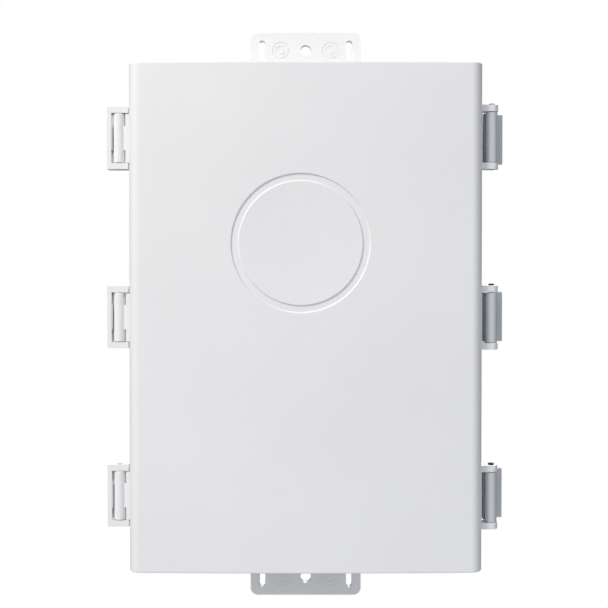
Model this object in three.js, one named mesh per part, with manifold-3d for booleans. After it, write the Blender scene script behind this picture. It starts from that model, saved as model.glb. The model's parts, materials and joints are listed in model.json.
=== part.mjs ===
// Outdoor wireless bridge. A tray-shaped rear housing and a hinged front cover hold a panel antenna and a radio
// board, on a mounting plate whose two tabs reach past the cover's ends.
// Frame: +Z up, +X right, the front faces -Y. The origin is the centre of the mounting plate's back face. Sizes in mm.
import * as THREE from "three";
import { mergeVertices } from "three/addons/utils/BufferGeometryUtils.js";
import Module from "manifold-3d";

const wasm = await Module();
wasm.setup();

// ---- Driving dimensions ----
const coverWidth = 213.4;
const coverHeight = 307;
const overallDepth = 53;
const coverDepth = 17;
const coverWall = 2.5;
const coverCrown = 1.6;
const coverSideRadius = 7;

const plateWidth = 71.2;
const plateThickness = 5;
const plateCornerRadius = 4.7;
const tabReach = 28;
const tabHoleRadius = 3.55;
const tabHoleInset = 11.3;
const tabSlotWidth = 3.7;
const tabSlotLength = 15;
const tabSlotX = 28;
const tabSlotInset = 4.8;

const housingInset = 0.4;
const housingFloor = 3;
const housingBackRadius = 6;
const tongueThickness = 1.4;
const tongueHeight = 3;
const gasketThickness = 2.2;
const gasketWidth = 2;
const ledgeWidth = 1.2;

const stationInset = 44;
const hingeHeight = 38;
const hingeOffset = 7.6;
const hingeBarrelRadius = 3.6;
const hingeBarLeft = 2.6;
const hingeBarGap = 0.9;
const hingeArmHalf = 7.5;
const latchHeight = 39;
const latchOffset = 6.5;
const latchForward = 4.5;
const latchEarRadius = 4;
const latchHubRadius = 3.5;
const leverSetback = 4;
const leverReach = 17.5;
const lipReach = 8.7;
const pinRadius = 1.5;

const antennaMargin = 9;
const serviceBayHeight = 110;
const antennaGap = 5;
const antennaPlaneY = -30;
const reflectorThickness = 1.5;
const circuitThickness = 1.6;

const radioBoardWidth = 116;
const radioBoardHeight = 140;
const radioBoardRise = 65.5;
const radioBoardStandoff = 6.4;

const alcoveWidth = 160;
const alcoveHeight = 18;
const alcoveDepth = 21.4;
const alcoveBackWall = 2;
const alcoveRoof = 3;

// ---- Clearances ----
const seatGap = 0.1;
const pinClearance = 0.1;
const screwClearance = 0.1;
const rimClearance = 0.3;
const axialGap = 0.3;
const catchGap = 0.4;

// ---- Places that follow from the sizes ----
const halfWidth = coverWidth / 2;
const halfHeight = coverHeight / 2;
const frontY = -overallDepth;
const partingY = frontY + coverDepth;
const plateFrontY = -plateThickness;
const housingBackY = plateFrontY - seatGap;
const floorY = housingBackY - housingFloor;
const housingHalfWidth = halfWidth - housingInset;
const housingHalfHeight = halfHeight - housingInset;
const housingWall = coverWall - housingInset + rimClearance + tongueThickness;
const cavityHalfWidth = housingHalfWidth - housingWall;
const cavityHalfHeight = housingHalfHeight - housingWall;
const tongueTipY = partingY - tongueHeight;
const ledgeY = tongueTipY - gasketThickness - 2 * seatGap;
const stationZ = [halfHeight - stationInset, 0, stationInset - halfHeight];
const stationNames = ["top", "middle", "bottom"];
const hingeX = -(halfWidth + hingeOffset);
const hingeY = partingY;
const latchX = halfWidth + latchOffset;
const latchY = partingY - latchForward;
const pinHoleRadius = pinRadius + pinClearance;
const sides = ["left", "right"];

// ---- Solids from three.js geometry ----
function manifoldOf(vertices, triangles) {
  return new wasm.Manifold(new wasm.Mesh({ numProp: 3, vertProperties: vertices, triVerts: triangles }));
}

function toSolid(geometry) {
  const bare = geometry.clone();
  bare.deleteAttribute("normal");
  bare.deleteAttribute("uv");
  const merged = mergeVertices(bare, 1e-4);
  const vertices = merged.attributes.position.array;
  const triangles = new Uint32Array(merged.index.array);
  const solid = manifoldOf(vertices, triangles);
  return solid.volume() < 0 ? manifoldOf(vertices, triangles.reverse()) : solid;
}

function toGeometry(solid) {
  const mesh = solid.getMesh();
  const geometry = new THREE.BufferGeometry();
  geometry.setAttribute("position", new THREE.BufferAttribute(mesh.vertProperties, 3));
  geometry.setIndex(new THREE.BufferAttribute(mesh.triVerts, 1));
  geometry.computeVertexNormals();
  return geometry;
}

const join = (first, ...others) => others.reduce((sum, other) => sum.add(other), first);
const cut = (body, ...tools) => tools.reduce((left, tool) => left.subtract(tool), body);

function block(xRange, yRange, zRange) {
  const ranges = [xRange, yRange, zRange];
  const sizes = ranges.map(([low, high]) => high - low);
  const middle = ranges.map(([low, high]) => (low + high) / 2);
  return toSolid(new THREE.BoxGeometry(...sizes).translate(...middle));
}

// An outline in X and Y, extruded up Z.
function prism(outline, [zLow, zHigh], curveSegments = 4) {
  const options = { depth: zHigh - zLow, bevelEnabled: false, curveSegments };
  return toSolid(new THREE.ExtrudeGeometry(outline, options).translate(0, 0, zLow));
}

// An outline in X and Z, extruded along Y.
function slab(outline, [yFront, yBack], curveSegments = 6) {
  const options = { depth: yBack - yFront, bevelEnabled: false, curveSegments };
  return toSolid(new THREE.ExtrudeGeometry(outline, options).rotateX(Math.PI / 2).translate(0, yBack, 0));
}

function rodZ(x, y, [zLow, zHigh], radius, facets = 16, turn = 0) {
  const rod = new THREE.CylinderGeometry(radius, radius, zHigh - zLow, facets);
  return toSolid(rod.rotateX(Math.PI / 2).rotateZ(turn).translate(x, y, (zLow + zHigh) / 2));
}

function rodY(x, z, [yFront, yBack], radius, facets = 16) {
  const rod = new THREE.CylinderGeometry(radius, radius, yBack - yFront, facets);
  return toSolid(rod.translate(x, (yFront + yBack) / 2, z));
}

function rodX(y, z, [xLow, xHigh], radius, facets = 12) {
  const rod = new THREE.CylinderGeometry(radius, radius, xHigh - xLow, facets).rotateZ(Math.PI / 2);
  return toSolid(rod.translate((xLow + xHigh) / 2, y, z));
}

function roundedRectangle(width, height, radius) {
  const x = width / 2 - radius;
  const y = height / 2 - radius;
  const outline = new THREE.Shape();
  outline.absarc(x, y, radius, 0, Math.PI / 2);
  outline.absarc(-x, y, radius, Math.PI / 2, Math.PI);
  outline.absarc(-x, -y, radius, Math.PI, 1.5 * Math.PI);
  outline.absarc(x, -y, radius, 1.5 * Math.PI, 2 * Math.PI);
  return outline;
}

// The plan section of a tray: a flat or crowned face at faceY, rounded long edges, open at openY.
function traySection(half, faceY, openY, radius, crown) {
  const toward = Math.sign(openY - faceY);
  const flatHalf = half - radius;
  const shoulderY = faceY + toward * crown;
  const centreY = shoulderY + toward * radius;
  const quarter = (-toward * Math.PI) / 2;
  const outline = new THREE.Shape();
  outline.moveTo(half, openY);
  outline.lineTo(half, centreY);
  outline.absarc(flatHalf, centreY, radius, 0, quarter, toward > 0);
  if (crown > 0) outline.quadraticCurveTo(0, 2 * faceY - shoulderY, -flatHalf, shoulderY);
  outline.absarc(-flatHalf, centreY, radius, quarter, 2 * quarter, toward > 0);
  outline.lineTo(-half, openY);
  return outline;
}

// ---- Front cover: crowned tray with hinge barrels on the left and latch ears on the right ----
const barrelLength = 30;
const latchEarThickness = 4;
const leverLength = latchHeight - 2 * (latchEarThickness + axialGap);
const hingeEarThickness = (hingeHeight - barrelLength) / 2 - axialGap;
const hingeArmFront = 2.6;
const hingeArmBack = 0.2;
const hingeLeafGap = 0.5;
const latchWebThickness = 1.2;
const roundelRadius = 42;
const roundelRingWidth = 5;
const roundelDepth = 0.8;
const roundelCentre = { x: -3, z: 45 };

// The leaf runs the barrel's whole length, and only its middle half reaches the barrel.
function hingeBarrel() {
  const half = barrelLength / 2;
  const rootX = -(halfWidth - coverWall / 2);
  const depth = [hingeY - hingeArmFront, hingeY - hingeArmBack];
  const leafX = hingeX + hingeBarrelRadius + hingeLeafGap;
  return join(
    rodZ(hingeX, hingeY, [-half, half], hingeBarrelRadius),
    block([leafX, rootX], depth, [-half, half]),
    block([hingeX, rootX], depth, [-hingeArmHalf, hingeArmHalf]),
  );
}

function latchEars() {
  const outer = latchHeight / 2;
  const inner = outer - latchEarThickness;
  const rootX = halfWidth - coverWall / 2;
  const depth = [latchY - latchEarRadius, latchY + latchEarRadius];
  const ears = [[inner, outer], [-outer, -inner]].map((span) =>
    join(rodZ(latchX, latchY, span, latchEarRadius), block([rootX, latchX], depth, span)),
  );
  return join(...ears, block([rootX, halfWidth + latchWebThickness], depth, [-outer, outer]));
}

function frontCover() {
  const innerHalf = halfWidth - coverWall;
  const innerHalfHeight = halfHeight - coverWall;
  const outline = traySection(halfWidth, frontY, partingY, coverSideRadius, coverCrown);
  const hollow = traySection(
    innerHalf - ledgeWidth,
    frontY + coverWall,
    partingY + 1,
    coverSideRadius - coverWall,
    coverCrown,
  );
  const hollowHalfHeight = innerHalfHeight - ledgeWidth;
  const shell = cut(
    prism(outline, [-halfHeight, halfHeight]),
    prism(hollow, [-hollowHalfHeight, hollowHalfHeight]),
    block([-innerHalf, innerHalf], [ledgeY, partingY + 1], [-innerHalfHeight, innerHalfHeight]),
  );
  const { x, z } = roundelCentre;
  const ringDepth = [frontY - 1, frontY + roundelDepth];
  const ring = cut(
    rodY(x, z, ringDepth, roundelRadius, 48),
    rodY(x, z, ringDepth, roundelRadius - roundelRingWidth, 48),
  );
  const fittings = stationZ.flatMap((height) => [
    hingeBarrel().translate(0, 0, height),
    latchEars().translate(0, 0, height),
  ]);
  const span = [-halfHeight, halfHeight];
  return cut(
    join(shell, ...fittings),
    ring,
    rodZ(hingeX, hingeY, span, pinHoleRadius),
    rodZ(latchX, latchY, span, pinHoleRadius),
  );
}

function coverGasket() {
  const outerHalf = halfWidth - coverWall - rimClearance;
  const outerHalfHeight = halfHeight - coverWall - rimClearance;
  const depth = [ledgeY + seatGap, tongueTipY - seatGap];
  const innerHalf = outerHalf - gasketWidth;
  const innerHalfHeight = outerHalfHeight - gasketWidth;
  return cut(
    block([-outerHalf, outerHalf], depth, [-outerHalfHeight, outerHalfHeight]),
    block([-innerHalf, innerHalf], [depth[0] - 1, depth[1] + 1], [-innerHalfHeight, innerHalfHeight]),
  );
}

// ---- Latch lever: hub on the cover's ears, arm back over the parting line, lip for a finger ----
const leverInnerX = latchX - leverSetback;
const leverArmThickness = 2.8;
const lipThickness = 2.4;
const lipRise = 9.5;
const lipBevel = 3;
const leverTipBevel = 1;

function latchLever() {
  const outerX = leverInnerX + leverArmThickness;
  const tipY = latchY + leverReach;
  const lipY = latchY + lipRise;
  const lipX = latchX + lipReach;
  const outline = new THREE.Shape();
  outline.moveTo(leverInnerX, latchY);
  outline.lineTo(outerX, latchY);
  outline.lineTo(outerX, lipY - lipThickness);
  outline.lineTo(lipX - lipBevel, lipY);
  outline.lineTo(lipX, lipY);
  outline.lineTo(lipX, lipY + lipThickness);
  outline.lineTo(lipX - lipBevel - leverTipBevel, lipY + lipThickness);
  outline.lineTo(outerX, lipY + leverTipBevel);
  outline.lineTo(outerX, tipY - leverTipBevel);
  outline.lineTo(outerX - leverTipBevel, tipY);
  outline.lineTo(leverInnerX, tipY);
  const half = leverLength / 2;
  return cut(
    join(rodZ(latchX, latchY, [-half, half], latchHubRadius), prism(outline, [-half, half])),
    rodZ(latchX, latchY, [-half - 1, half + 1], pinHoleRadius),
  );
}

// ---- Pins ----
const latchPinHeadRadius = 1.9;
const latchPinHeadHeight = 1.1;
const latchPinNeck = 0.5;

function latchPin() {
  const top = latchHeight / 2 + seatGap;
  return join(
    rodZ(latchX, latchY, [-latchHeight / 2, top + latchPinNeck], pinRadius),
    rodZ(latchX, latchY, [top, top + latchPinHeadHeight], latchPinHeadRadius),
  );
}

const hingePin = () => rodZ(hingeX, hingeY, [-hingeHeight / 2, hingeHeight / 2], pinRadius);

// ---- Hinge frame: closed frame round the barrel, on a flange screwed to the housing's side ----
const frameFront = 3.2;
const frameBack = 6;
const frameEarEnd = 5.9;
const frameRearGap = 0.6;
const flangeThickness = 2.9;
const flangeReach = 19;
const frameScrewReach = 12;
const frameScrewZ = 12;
const flangeBackY = hingeY + flangeReach;
const frameScrewY = hingeY + frameScrewReach;
const cradleThickness = 1.5;

function hingeFrame() {
  const half = hingeHeight / 2;
  const window = barrelLength / 2 + axialGap;
  const barInner = hingeX - hingeBarrelRadius - hingeBarGap;
  const barOuter = barInner - hingeBarLeft;
  const depth = [hingeY - frameFront, hingeY + frameBack];
  const wallX = -(housingHalfWidth + seatGap);
  const flangeX = wallX - flangeThickness;
  const innerBarX = hingeX + hingeBarrelRadius + hingeLeafGap;
  const behind = [hingeY + frameRearGap, depth[1]];
  const ears = [[window, half], [-half, -window]].flatMap((span) => [
    block([barOuter, hingeX + frameEarEnd], depth, span),
    block([barOuter, wallX], behind, span),
  ]);
  const frame = join(
    block([barOuter, barInner], depth, [-half, half]),
    ...ears,
    block([innerBarX, wallX], behind, [-half, half]),
    block([barOuter, wallX], [depth[1] - cradleThickness, depth[1]], [-hingeArmHalf, hingeArmHalf]),
    block([flangeX, wallX], [behind[0], flangeBackY], [-half, half]),
  );
  const screwHoles = [-frameScrewZ, frameScrewZ].map((z) =>
    rodX(frameScrewY, z, [flangeX - 1, wallX + 1], frameScrew.shank + screwClearance),
  );
  return cut(frame, rodZ(hingeX, hingeY, [-half - 1, half + 1], pinHoleRadius), ...screwHoles);
}

// ---- Screws: a lathe about Y with the head's underside at 0 and the shank towards +Y ----
const frameScrew = { head: 2.8, headHeight: 1.8, shank: 1.5, length: 9 };
const plateScrew = { head: 3.6, headHeight: 2.3, shank: 2, length: 11 };
const boardScrew = { head: 2.7, headHeight: 1.7, shank: 1.4, length: 6 };
const antennaScrew = { head: 2.8, headHeight: 1.8, shank: 1.5, length: 14 };
const headTopShare = 0.75;
const headShoulderShare = 0.6;

function screw({ head, headHeight, shank, length }) {
  const profile = [
    [0, -headHeight],
    [head * headTopShare, -headHeight],
    [head, -headHeight * headShoulderShare],
    [head, 0],
    [shank, 0],
    [shank, length],
    [0, length],
  ].map(([r, y]) => new THREE.Vector2(r, y));
  return toSolid(new THREE.LatheGeometry(profile, 12));
}

// ---- Mounting plate: one moulding behind the housing, with a tab past each end of the cover ----
const plateHeight = coverHeight + 2 * tabReach;
const counterboreDepth = 3;
const counterboreMargin = 0.4;
const plateScrewX = 26;
const plateScrewInset = 43.5;
const plateScrewZ = halfHeight - plateScrewInset;
const pocketDepth = 2;
const pocketWidth = 13;
const pocketRows = 6;
const ribWidth = 6;

function stadium(x, z, width, length) {
  const radius = width / 2;
  const reach = length / 2 - radius;
  const outline = new THREE.Path();
  outline.absarc(x, z + reach, radius, 0, Math.PI);
  outline.absarc(x, z - reach, radius, Math.PI, 2 * Math.PI);
  return outline;
}

const plateScrewPlaces = [-1, 1].flatMap((side) =>
  [-1, 1].map((end) => ({ x: side * plateScrewX, z: end * plateScrewZ })),
);

function mountingPlate() {
  const outline = roundedRectangle(plateWidth, plateHeight, plateCornerRadius);
  const tabEnd = plateHeight / 2;
  for (const end of [-1, 1]) {
    outline.holes.push(new THREE.Path().absarc(0, end * (tabEnd - tabHoleInset), tabHoleRadius, 0, 2 * Math.PI));
    const slotZ = end * (tabEnd - tabSlotInset - tabSlotLength / 2);
    for (const x of [-tabSlotX, tabSlotX]) outline.holes.push(stadium(x, slotZ, tabSlotWidth, tabSlotLength));
  }
  const pitch = (coverHeight - ribWidth) / pocketRows;
  const pockets = Array.from({ length: pocketRows }, (_, row) => {
    const low = -halfHeight + ribWidth + row * pitch;
    return [ribWidth / 2, -ribWidth / 2 - pocketWidth].map((x) =>
      block([x, x + pocketWidth], [-pocketDepth, 1], [low, low + pitch - ribWidth]),
    );
  }).flat();
  const screwHoles = plateScrewPlaces.flatMap(({ x, z }) => [
    rodY(x, z, [plateFrontY - 1, 1], plateScrew.shank + screwClearance),
    rodY(x, z, [-counterboreDepth, 1], plateScrew.head + counterboreMargin),
  ]);
  return cut(slab(outline, [plateFrontY, 0]), ...pockets, ...screwHoles);
}

// ---- Panel antenna: patch board in front of a reflector sheet, on the housing's tall bosses ----
const antennaHalfWidth = halfWidth - antennaMargin;
const antennaTopMargin = 6.5;
const antennaTop = halfHeight - antennaTopMargin;
const antennaBottom = serviceBayHeight - halfHeight;
const antennaMiddle = (antennaTop + antennaBottom) / 2;
const reflectorFrontY = antennaPlaneY - reflectorThickness;
const spacerFrontY = reflectorFrontY - seatGap - antennaGap;
const antennaBoardY = spacerFrontY - seatGap;
const antennaBoardFrontY = antennaBoardY - circuitThickness;
const antennaScrewInset = 11;
const spacerRadius = 4;
const antennaBoardInset = 1;
const reflectorFlange = 4;
const feedX = 36;
const feedRise = 36;
const feedZ = antennaMiddle + feedRise;
const feedHoleRadius = 1.6;
const antennaScrewPlaces = [-1, 1].flatMap((side) =>
  [antennaBottom + antennaScrewInset, antennaTop - antennaScrewInset].map((z) => ({
    x: side * (antennaHalfWidth - antennaScrewInset),
    z,
  })),
);

function antennaSheet(depth, inset, withFeedHoles) {
  const half = antennaHalfWidth - inset;
  const holes = antennaScrewPlaces.map(({ x, z }) =>
    rodY(x, z, [depth[0] - 1, depth[1] + 1], antennaScrew.shank + screwClearance, 12),
  );
  const feeds = [-feedX, feedX].map((x) => rodY(x, feedZ, [depth[0] - 1, depth[1] + 1], feedHoleRadius, 12));
  const sheet = block([-half, half], depth, [antennaBottom + inset, antennaTop - inset]);
  return cut(sheet, ...holes, ...(withFeedHoles ? feeds : []));
}

const antennaBoard = () => antennaSheet([antennaBoardFrontY, antennaBoardY], antennaBoardInset, false);

function antennaReflector() {
  const flangeDepth = [reflectorFrontY, antennaPlaneY + reflectorFlange];
  const low = antennaBottom;
  const lowFlange = block([-antennaHalfWidth, antennaHalfWidth], flangeDepth, [low, low + reflectorThickness]);
  return join(antennaSheet([reflectorFrontY, antennaPlaneY], 0, true), lowFlange);
}

function antennaSpacer({ x, z }) {
  const depth = [spacerFrontY, reflectorFrontY - seatGap];
  const bore = rodY(x, z, [depth[0] - 1, depth[1] + 1], antennaScrew.shank + screwClearance, 12);
  return cut(rodY(x, z, depth, spacerRadius, 12), bore);
}

// ---- Radio board and what stands on it ----
const boardBackY = floorY - radioBoardStandoff - seatGap;
const boardFrontY = boardBackY - circuitThickness;
const boardBottom = radioBoardRise - halfHeight;
const boardTop = boardBottom + radioBoardHeight;
const boardHalf = radioBoardWidth / 2;
const boardMiddle = (boardTop + boardBottom) / 2;
const boardScrewInset = 6;
const onBoardY = boardFrontY - seatGap;
const boardScrewPlaces = [-1, 1].flatMap((side) =>
  [boardBottom + boardScrewInset, boardTop - boardScrewInset].map((z) => ({
    x: side * (boardHalf - boardScrewInset),
    z,
  })),
);

function radioBoard() {
  const depth = [boardFrontY, boardBackY];
  const holes = boardScrewPlaces.map(({ x, z }) =>
    rodY(x, z, [depth[0] - 1, depth[1] + 1], boardScrew.shank + screwClearance, 12),
  );
  return cut(block([-boardHalf, boardHalf], depth, [boardBottom, boardTop]), ...holes);
}

// A box standing on the board's front, with its lower left corner at x and z.
function onBoard(x, z, width, height, depth) {
  return block([x, x + width], [onBoardY - depth, onBoardY], [z, z + height]);
}

const jackX = 12;
const jackWidth = 16;
const jackHeight = 21;
const jackDepth = 13.6;
const jackWall = 1.6;
const jackSideWall = 2;
const jackBackWall = 3.4;
const socketDepth = 15;

function ethernetJack() {
  const body = onBoard(jackX, boardBottom, jackWidth, jackHeight, jackDepth);
  const socket = block(
    [jackX + jackSideWall, jackX + jackWidth - jackSideWall],
    [onBoardY - jackDepth + jackWall, onBoardY - jackBackWall],
    [boardBottom - 1, boardBottom + socketDepth],
  );
  return cut(body, socket);
}

const heatSpreaderSize = 50;
const finPitch = 10;
const finSlotWidth = 4;
const finSlotDepth = 4.5;

function heatSpreader() {
  const half = heatSpreaderSize / 2;
  const finSlots = [-1.5, -0.5, 0.5, 1.5].map((row) => {
    const low = row * finPitch - finSlotWidth / 2;
    const span = [boardMiddle - half - 1, boardMiddle + half + 1];
    return block([low, low + finSlotWidth], [floorY - finSlotDepth, floorY], span);
  });
  const pad = block(
    [-half, half],
    [boardBackY + seatGap, floorY - seatGap],
    [boardMiddle - half, boardMiddle + half],
  );
  return cut(pad, ...finSlots);
}

const switchX = -20;
const switchRise = 8;
const switchZ = boardBottom + switchRise;
const switchSize = 6;
const switchDepth = 3.6;
const plungerRadius = 1.75;
const plungerTravel = 0.25;
const plungerDepth = 1.4;
const plungerProud = 1.5;

function resetSwitch() {
  const half = switchSize / 2;
  const hole = [onBoardY - switchDepth - 1, onBoardY - switchDepth + plungerDepth + plungerTravel + axialGap];
  return cut(
    onBoard(switchX - half, switchZ - half, switchSize, switchSize, switchDepth),
    rodY(switchX, switchZ, hole, plungerRadius + pinClearance),
  );
}

function resetButton() {
  const faceY = onBoardY - switchDepth;
  return rodY(switchX, switchZ, [faceY - plungerProud, faceY + plungerDepth], plungerRadius);
}

const arrester = { radius: 4, x: 42, rise: 14, half: 5, leadRadius: 0.6, leadHalf: 7 };

function surgeArrester() {
  const { radius, x, rise, half, leadRadius, leadHalf } = arrester;
  const y = onBoardY - radius;
  const z = boardBottom + rise;
  const lead = rodX(y, z, [x - leadHalf, x + leadHalf], leadRadius, 8);
  return join(rodX(y, z, [x - half, x + half], radius, 16), lead);
}

const shieldCan = { width: 64, height: 52, depth: 5 };
const transformer = { x: -50, rise: 16, size: 18, depth: 11 };

// ---- Antenna leads: coax from a plug on the radio board through the reflector to the patch board ----
const coaxRadius = 0.9;
const coaxPlugRadius = 2.2;
const coaxPlugDepth = 2.8;
const coaxPlugX = 30;
const coaxPlugInset = 16;
const coaxPlugZ = boardTop - coaxPlugInset;

const coaxPlug = (side) => {
  const depth = [onBoardY - coaxPlugDepth, onBoardY];
  return rodY(side * coaxPlugX, coaxPlugZ, depth, coaxPlugRadius, 12);
};

function antennaLead(side) {
  const startY = onBoardY - coaxPlugDepth - seatGap;
  const runY = startY - 4.5;
  const route = [
    [coaxPlugX, startY, coaxPlugZ],
    [coaxPlugX, startY - 2.2, coaxPlugZ],
    [coaxPlugX + 0.6, runY, coaxPlugZ + 6],
    [feedX - 1.5, runY, feedZ - 24],
    [feedX, runY - 0.6, feedZ - 8],
    [feedX, reflectorFrontY + 4.5, feedZ - 0.6],
    [feedX, reflectorFrontY, feedZ],
    [feedX, antennaBoardY + seatGap, feedZ],
  ].map(([x, y, z]) => new THREE.Vector3(side * x, y, z));
  const section = new THREE.Shape().absarc(0, 0, coaxRadius, 0, 2 * Math.PI);
  const options = { steps: 24, curveSegments: 4, extrudePath: new THREE.CatmullRomCurve3(route) };
  return toSolid(new THREE.ExtrudeGeometry(section, options));
}

// ---- Cable entry alcove in the housing's bottom wall ----
const alcoveHalf = alcoveWidth / 2;
const alcoveBackY = floorY - alcoveBackWall;
const alcoveFrontY = alcoveBackY - alcoveDepth;
const alcoveRoofZ = -housingHalfHeight + alcoveHeight;
const alcoveCeilingZ = alcoveRoofZ + alcoveRoof;
const entryY = (alcoveFrontY + alcoveBackY) / 2;
const glandX = 56;
const plugX = 24;
const ventX = -14;
const earthX = -50;
const threadRadius = 7.9;
const ventThreadRadius = 5.9;
const earthRadius = 2.5;
const threadRise = 12;
const hexRadius = 11;
const underRoofZ = alcoveRoofZ - seatGap;
const aboveRoofZ = alcoveCeilingZ + seatGap;

const entry = (x, zRange, radius, facets) => rodZ(x, entryY, zRange, radius, facets);

// A hexagon with two flats facing front and back.
const hexEntry = (x, zRange, corner) => rodZ(x, entryY, zRange, corner, 6, Math.PI / 6);

const glandBoreRadius = 4.7;
const glandStubRadius = 7.4;
const glandStubLength = 12;
const glandStubZ = underRoofZ - glandStubLength;
const glandSealRadius = 6;
const glandSealBore = 3.3;
const glandSealDrop = 5;
const glandSealTopZ = underRoofZ - glandSealDrop;
const glandHexHeight = 4.5;
const capRadius = 10;
const capMouthRadius = 8.6;
const capFloor = 1.8;
const capChamfer = 0.6;
const locknutHeight = 5;
const locknutCorner = 11.4;

function glandBody() {
  const top = alcoveRoofZ + threadRise;
  return cut(
    join(
      hexEntry(glandX, [underRoofZ - glandHexHeight, underRoofZ], hexRadius),
      entry(glandX, [underRoofZ - 1, top], threadRadius),
      entry(glandX, [glandStubZ, underRoofZ - 1], glandStubRadius),
    ),
    entry(glandX, [glandStubZ - 1, top + 1], glandBoreRadius),
    entry(glandX, [glandStubZ - 1, glandSealTopZ + seatGap], glandSealRadius + pinClearance),
  );
}

function glandSeal() {
  const span = [glandStubZ, glandSealTopZ];
  return cut(entry(glandX, span, glandSealRadius), entry(glandX, [span[0] - 1, span[1] + 1], glandSealBore));
}

function glandCap() {
  const top = underRoofZ - glandHexHeight - axialGap;
  const floor = glandStubZ - seatGap;
  const low = floor - capFloor;
  return cut(
    join(
      entry(glandX, [floor + capChamfer, top], capRadius, 12),
      entry(glandX, [low, floor + capChamfer + seatGap], capMouthRadius, 24),
    ),
    entry(glandX, [floor, top + 1], glandStubRadius + 2 * pinClearance),
    entry(glandX, [low - 1, top], glandBoreRadius),
  );
}

function nut(x, zRange, corner, bore) {
  return cut(hexEntry(x, zRange, corner), entry(x, [zRange[0] - 1, zRange[1] + 1], bore + pinClearance));
}

const stopperTail = 3;
const blankHead = { radius: 10, height: 4 };
const ventHead = { radius: 7.5, height: 4.5 };

function entryStopper(x, head, headHeight, thread, facets) {
  return join(
    entry(x, [underRoofZ - headHeight, underRoofZ], head, facets),
    entry(x, [underRoofZ - 1, aboveRoofZ + stopperTail], thread),
  );
}

const earthNutHeight = 4;
const earthTail = 2.2;
const earthHeadHeight = 3.4;
const earthHexCorner = 4.6;

function earthBolt() {
  const low = underRoofZ - earthNutHeight - earthTail;
  return join(
    entry(earthX, [low, aboveRoofZ + 1], earthRadius, 16),
    hexEntry(earthX, [aboveRoofZ, aboveRoofZ + earthHeadHeight], earthHexCorner),
  );
}

// ---- Rear housing ----
const bossRadius = 4;
const plateBossDepth = 8;
const sideBossRadius = 3.6;
const sideBossLength = 5;
const catchDepth = 2.6;
const catchHalf = 14;
const catchSetback = 5;
const catchBackY = partingY + catchSetback;
const plateBossMargin = 0.5;
const blindEnd = 1.5;
const antennaHoleDepth = 9;
const boardHoleDepth = 5.5;

function floorBoss({ x, z }, tipY, radius) {
  return rodY(x, z, [tipY, floorY + 1], radius);
}

function blindHole({ x, z }, tipY, depth, shank) {
  return rodY(x, z, [tipY - 1, tipY + depth], shank + screwClearance, 12);
}

function rearHousing() {
  const trough = traySection(housingHalfWidth, housingBackY, partingY, housingBackRadius, 0);
  const tongueHalf = halfWidth - coverWall - rimClearance;
  const tongueHalfHeight = halfHeight - coverWall - rimClearance;
  const tray = cut(
    join(
      prism(trough, [-housingHalfHeight, housingHalfHeight]),
      block([-tongueHalf, tongueHalf], [tongueTipY, partingY + 1], [-tongueHalfHeight, tongueHalfHeight]),
    ),
    block(
      [-cavityHalfWidth, cavityHalfWidth],
      [tongueTipY - 1, floorY],
      [-cavityHalfHeight, cavityHalfHeight],
    ),
  );
  const antennaBossY = antennaPlaneY + seatGap;
  const boardBossY = floorY - radioBoardStandoff;
  const plateBossY = floorY - plateBossDepth;
  const alcoveBlock = block(
    [-alcoveHalf - alcoveRoof, alcoveHalf + alcoveRoof],
    [partingY, floorY + 1],
    [-housingHalfHeight + 1, alcoveCeilingZ],
  );
  const sideBosses = stationZ.flatMap((station) =>
    [-frameScrewZ, frameScrewZ].map((z) => {
      const span = [-cavityHalfWidth - 1, -cavityHalfWidth + sideBossLength];
      return rodX(frameScrewY, station + z, span, sideBossRadius);
    }),
  );
  const catches = stationZ.map((station) =>
    block(
      [housingHalfWidth - 1, leverInnerX - catchGap],
      [catchBackY - catchDepth, catchBackY],
      [station - catchHalf, station + catchHalf],
    ),
  );
  const solid = join(
    tray,
    ...antennaScrewPlaces.map((place) => floorBoss(place, antennaBossY, bossRadius)),
    ...boardScrewPlaces.map((place) => floorBoss(place, boardBossY, bossRadius)),
    ...plateScrewPlaces.map((place) => floorBoss(place, plateBossY, bossRadius + plateBossMargin)),
    alcoveBlock,
    ...sideBosses,
    ...catches,
  );
  const sideHoles = stationZ.flatMap((station) =>
    [-frameScrewZ, frameScrewZ].map((z) => {
      const span = [-housingHalfWidth - 1, -cavityHalfWidth + sideBossLength - blindEnd];
      return rodX(frameScrewY, station + z, span, frameScrew.shank + screwClearance);
    }),
  );
  const plateHoles = plateScrewPlaces.map(({ x, z }) =>
    rodY(x, z, [plateBossY + blindEnd, housingBackY + 1], plateScrew.shank + screwClearance, 12),
  );
  const roofCut = [alcoveRoofZ - 1, alcoveCeilingZ + 1];
  return cut(
    solid,
    block([-alcoveHalf, alcoveHalf], [alcoveFrontY, alcoveBackY], [-housingHalfHeight - 1, alcoveRoofZ]),
    ...antennaScrewPlaces.map((place) => blindHole(place, antennaBossY, antennaHoleDepth, antennaScrew.shank)),
    ...boardScrewPlaces.map((place) => blindHole(place, boardBossY, boardHoleDepth, boardScrew.shank)),
    ...sideHoles,
    ...plateHoles,
    entry(glandX, roofCut, threadRadius + pinClearance),
    entry(plugX, roofCut, threadRadius + pinClearance),
    entry(ventX, roofCut, ventThreadRadius + pinClearance),
    entry(earthX, roofCut, earthRadius + pinClearance, 16),
  );
}

// ---- Materials ----
function finish(color, roughness, metalness = 0) {
  return () => new THREE.MeshStandardMaterial({ color, roughness, metalness });
}

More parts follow.
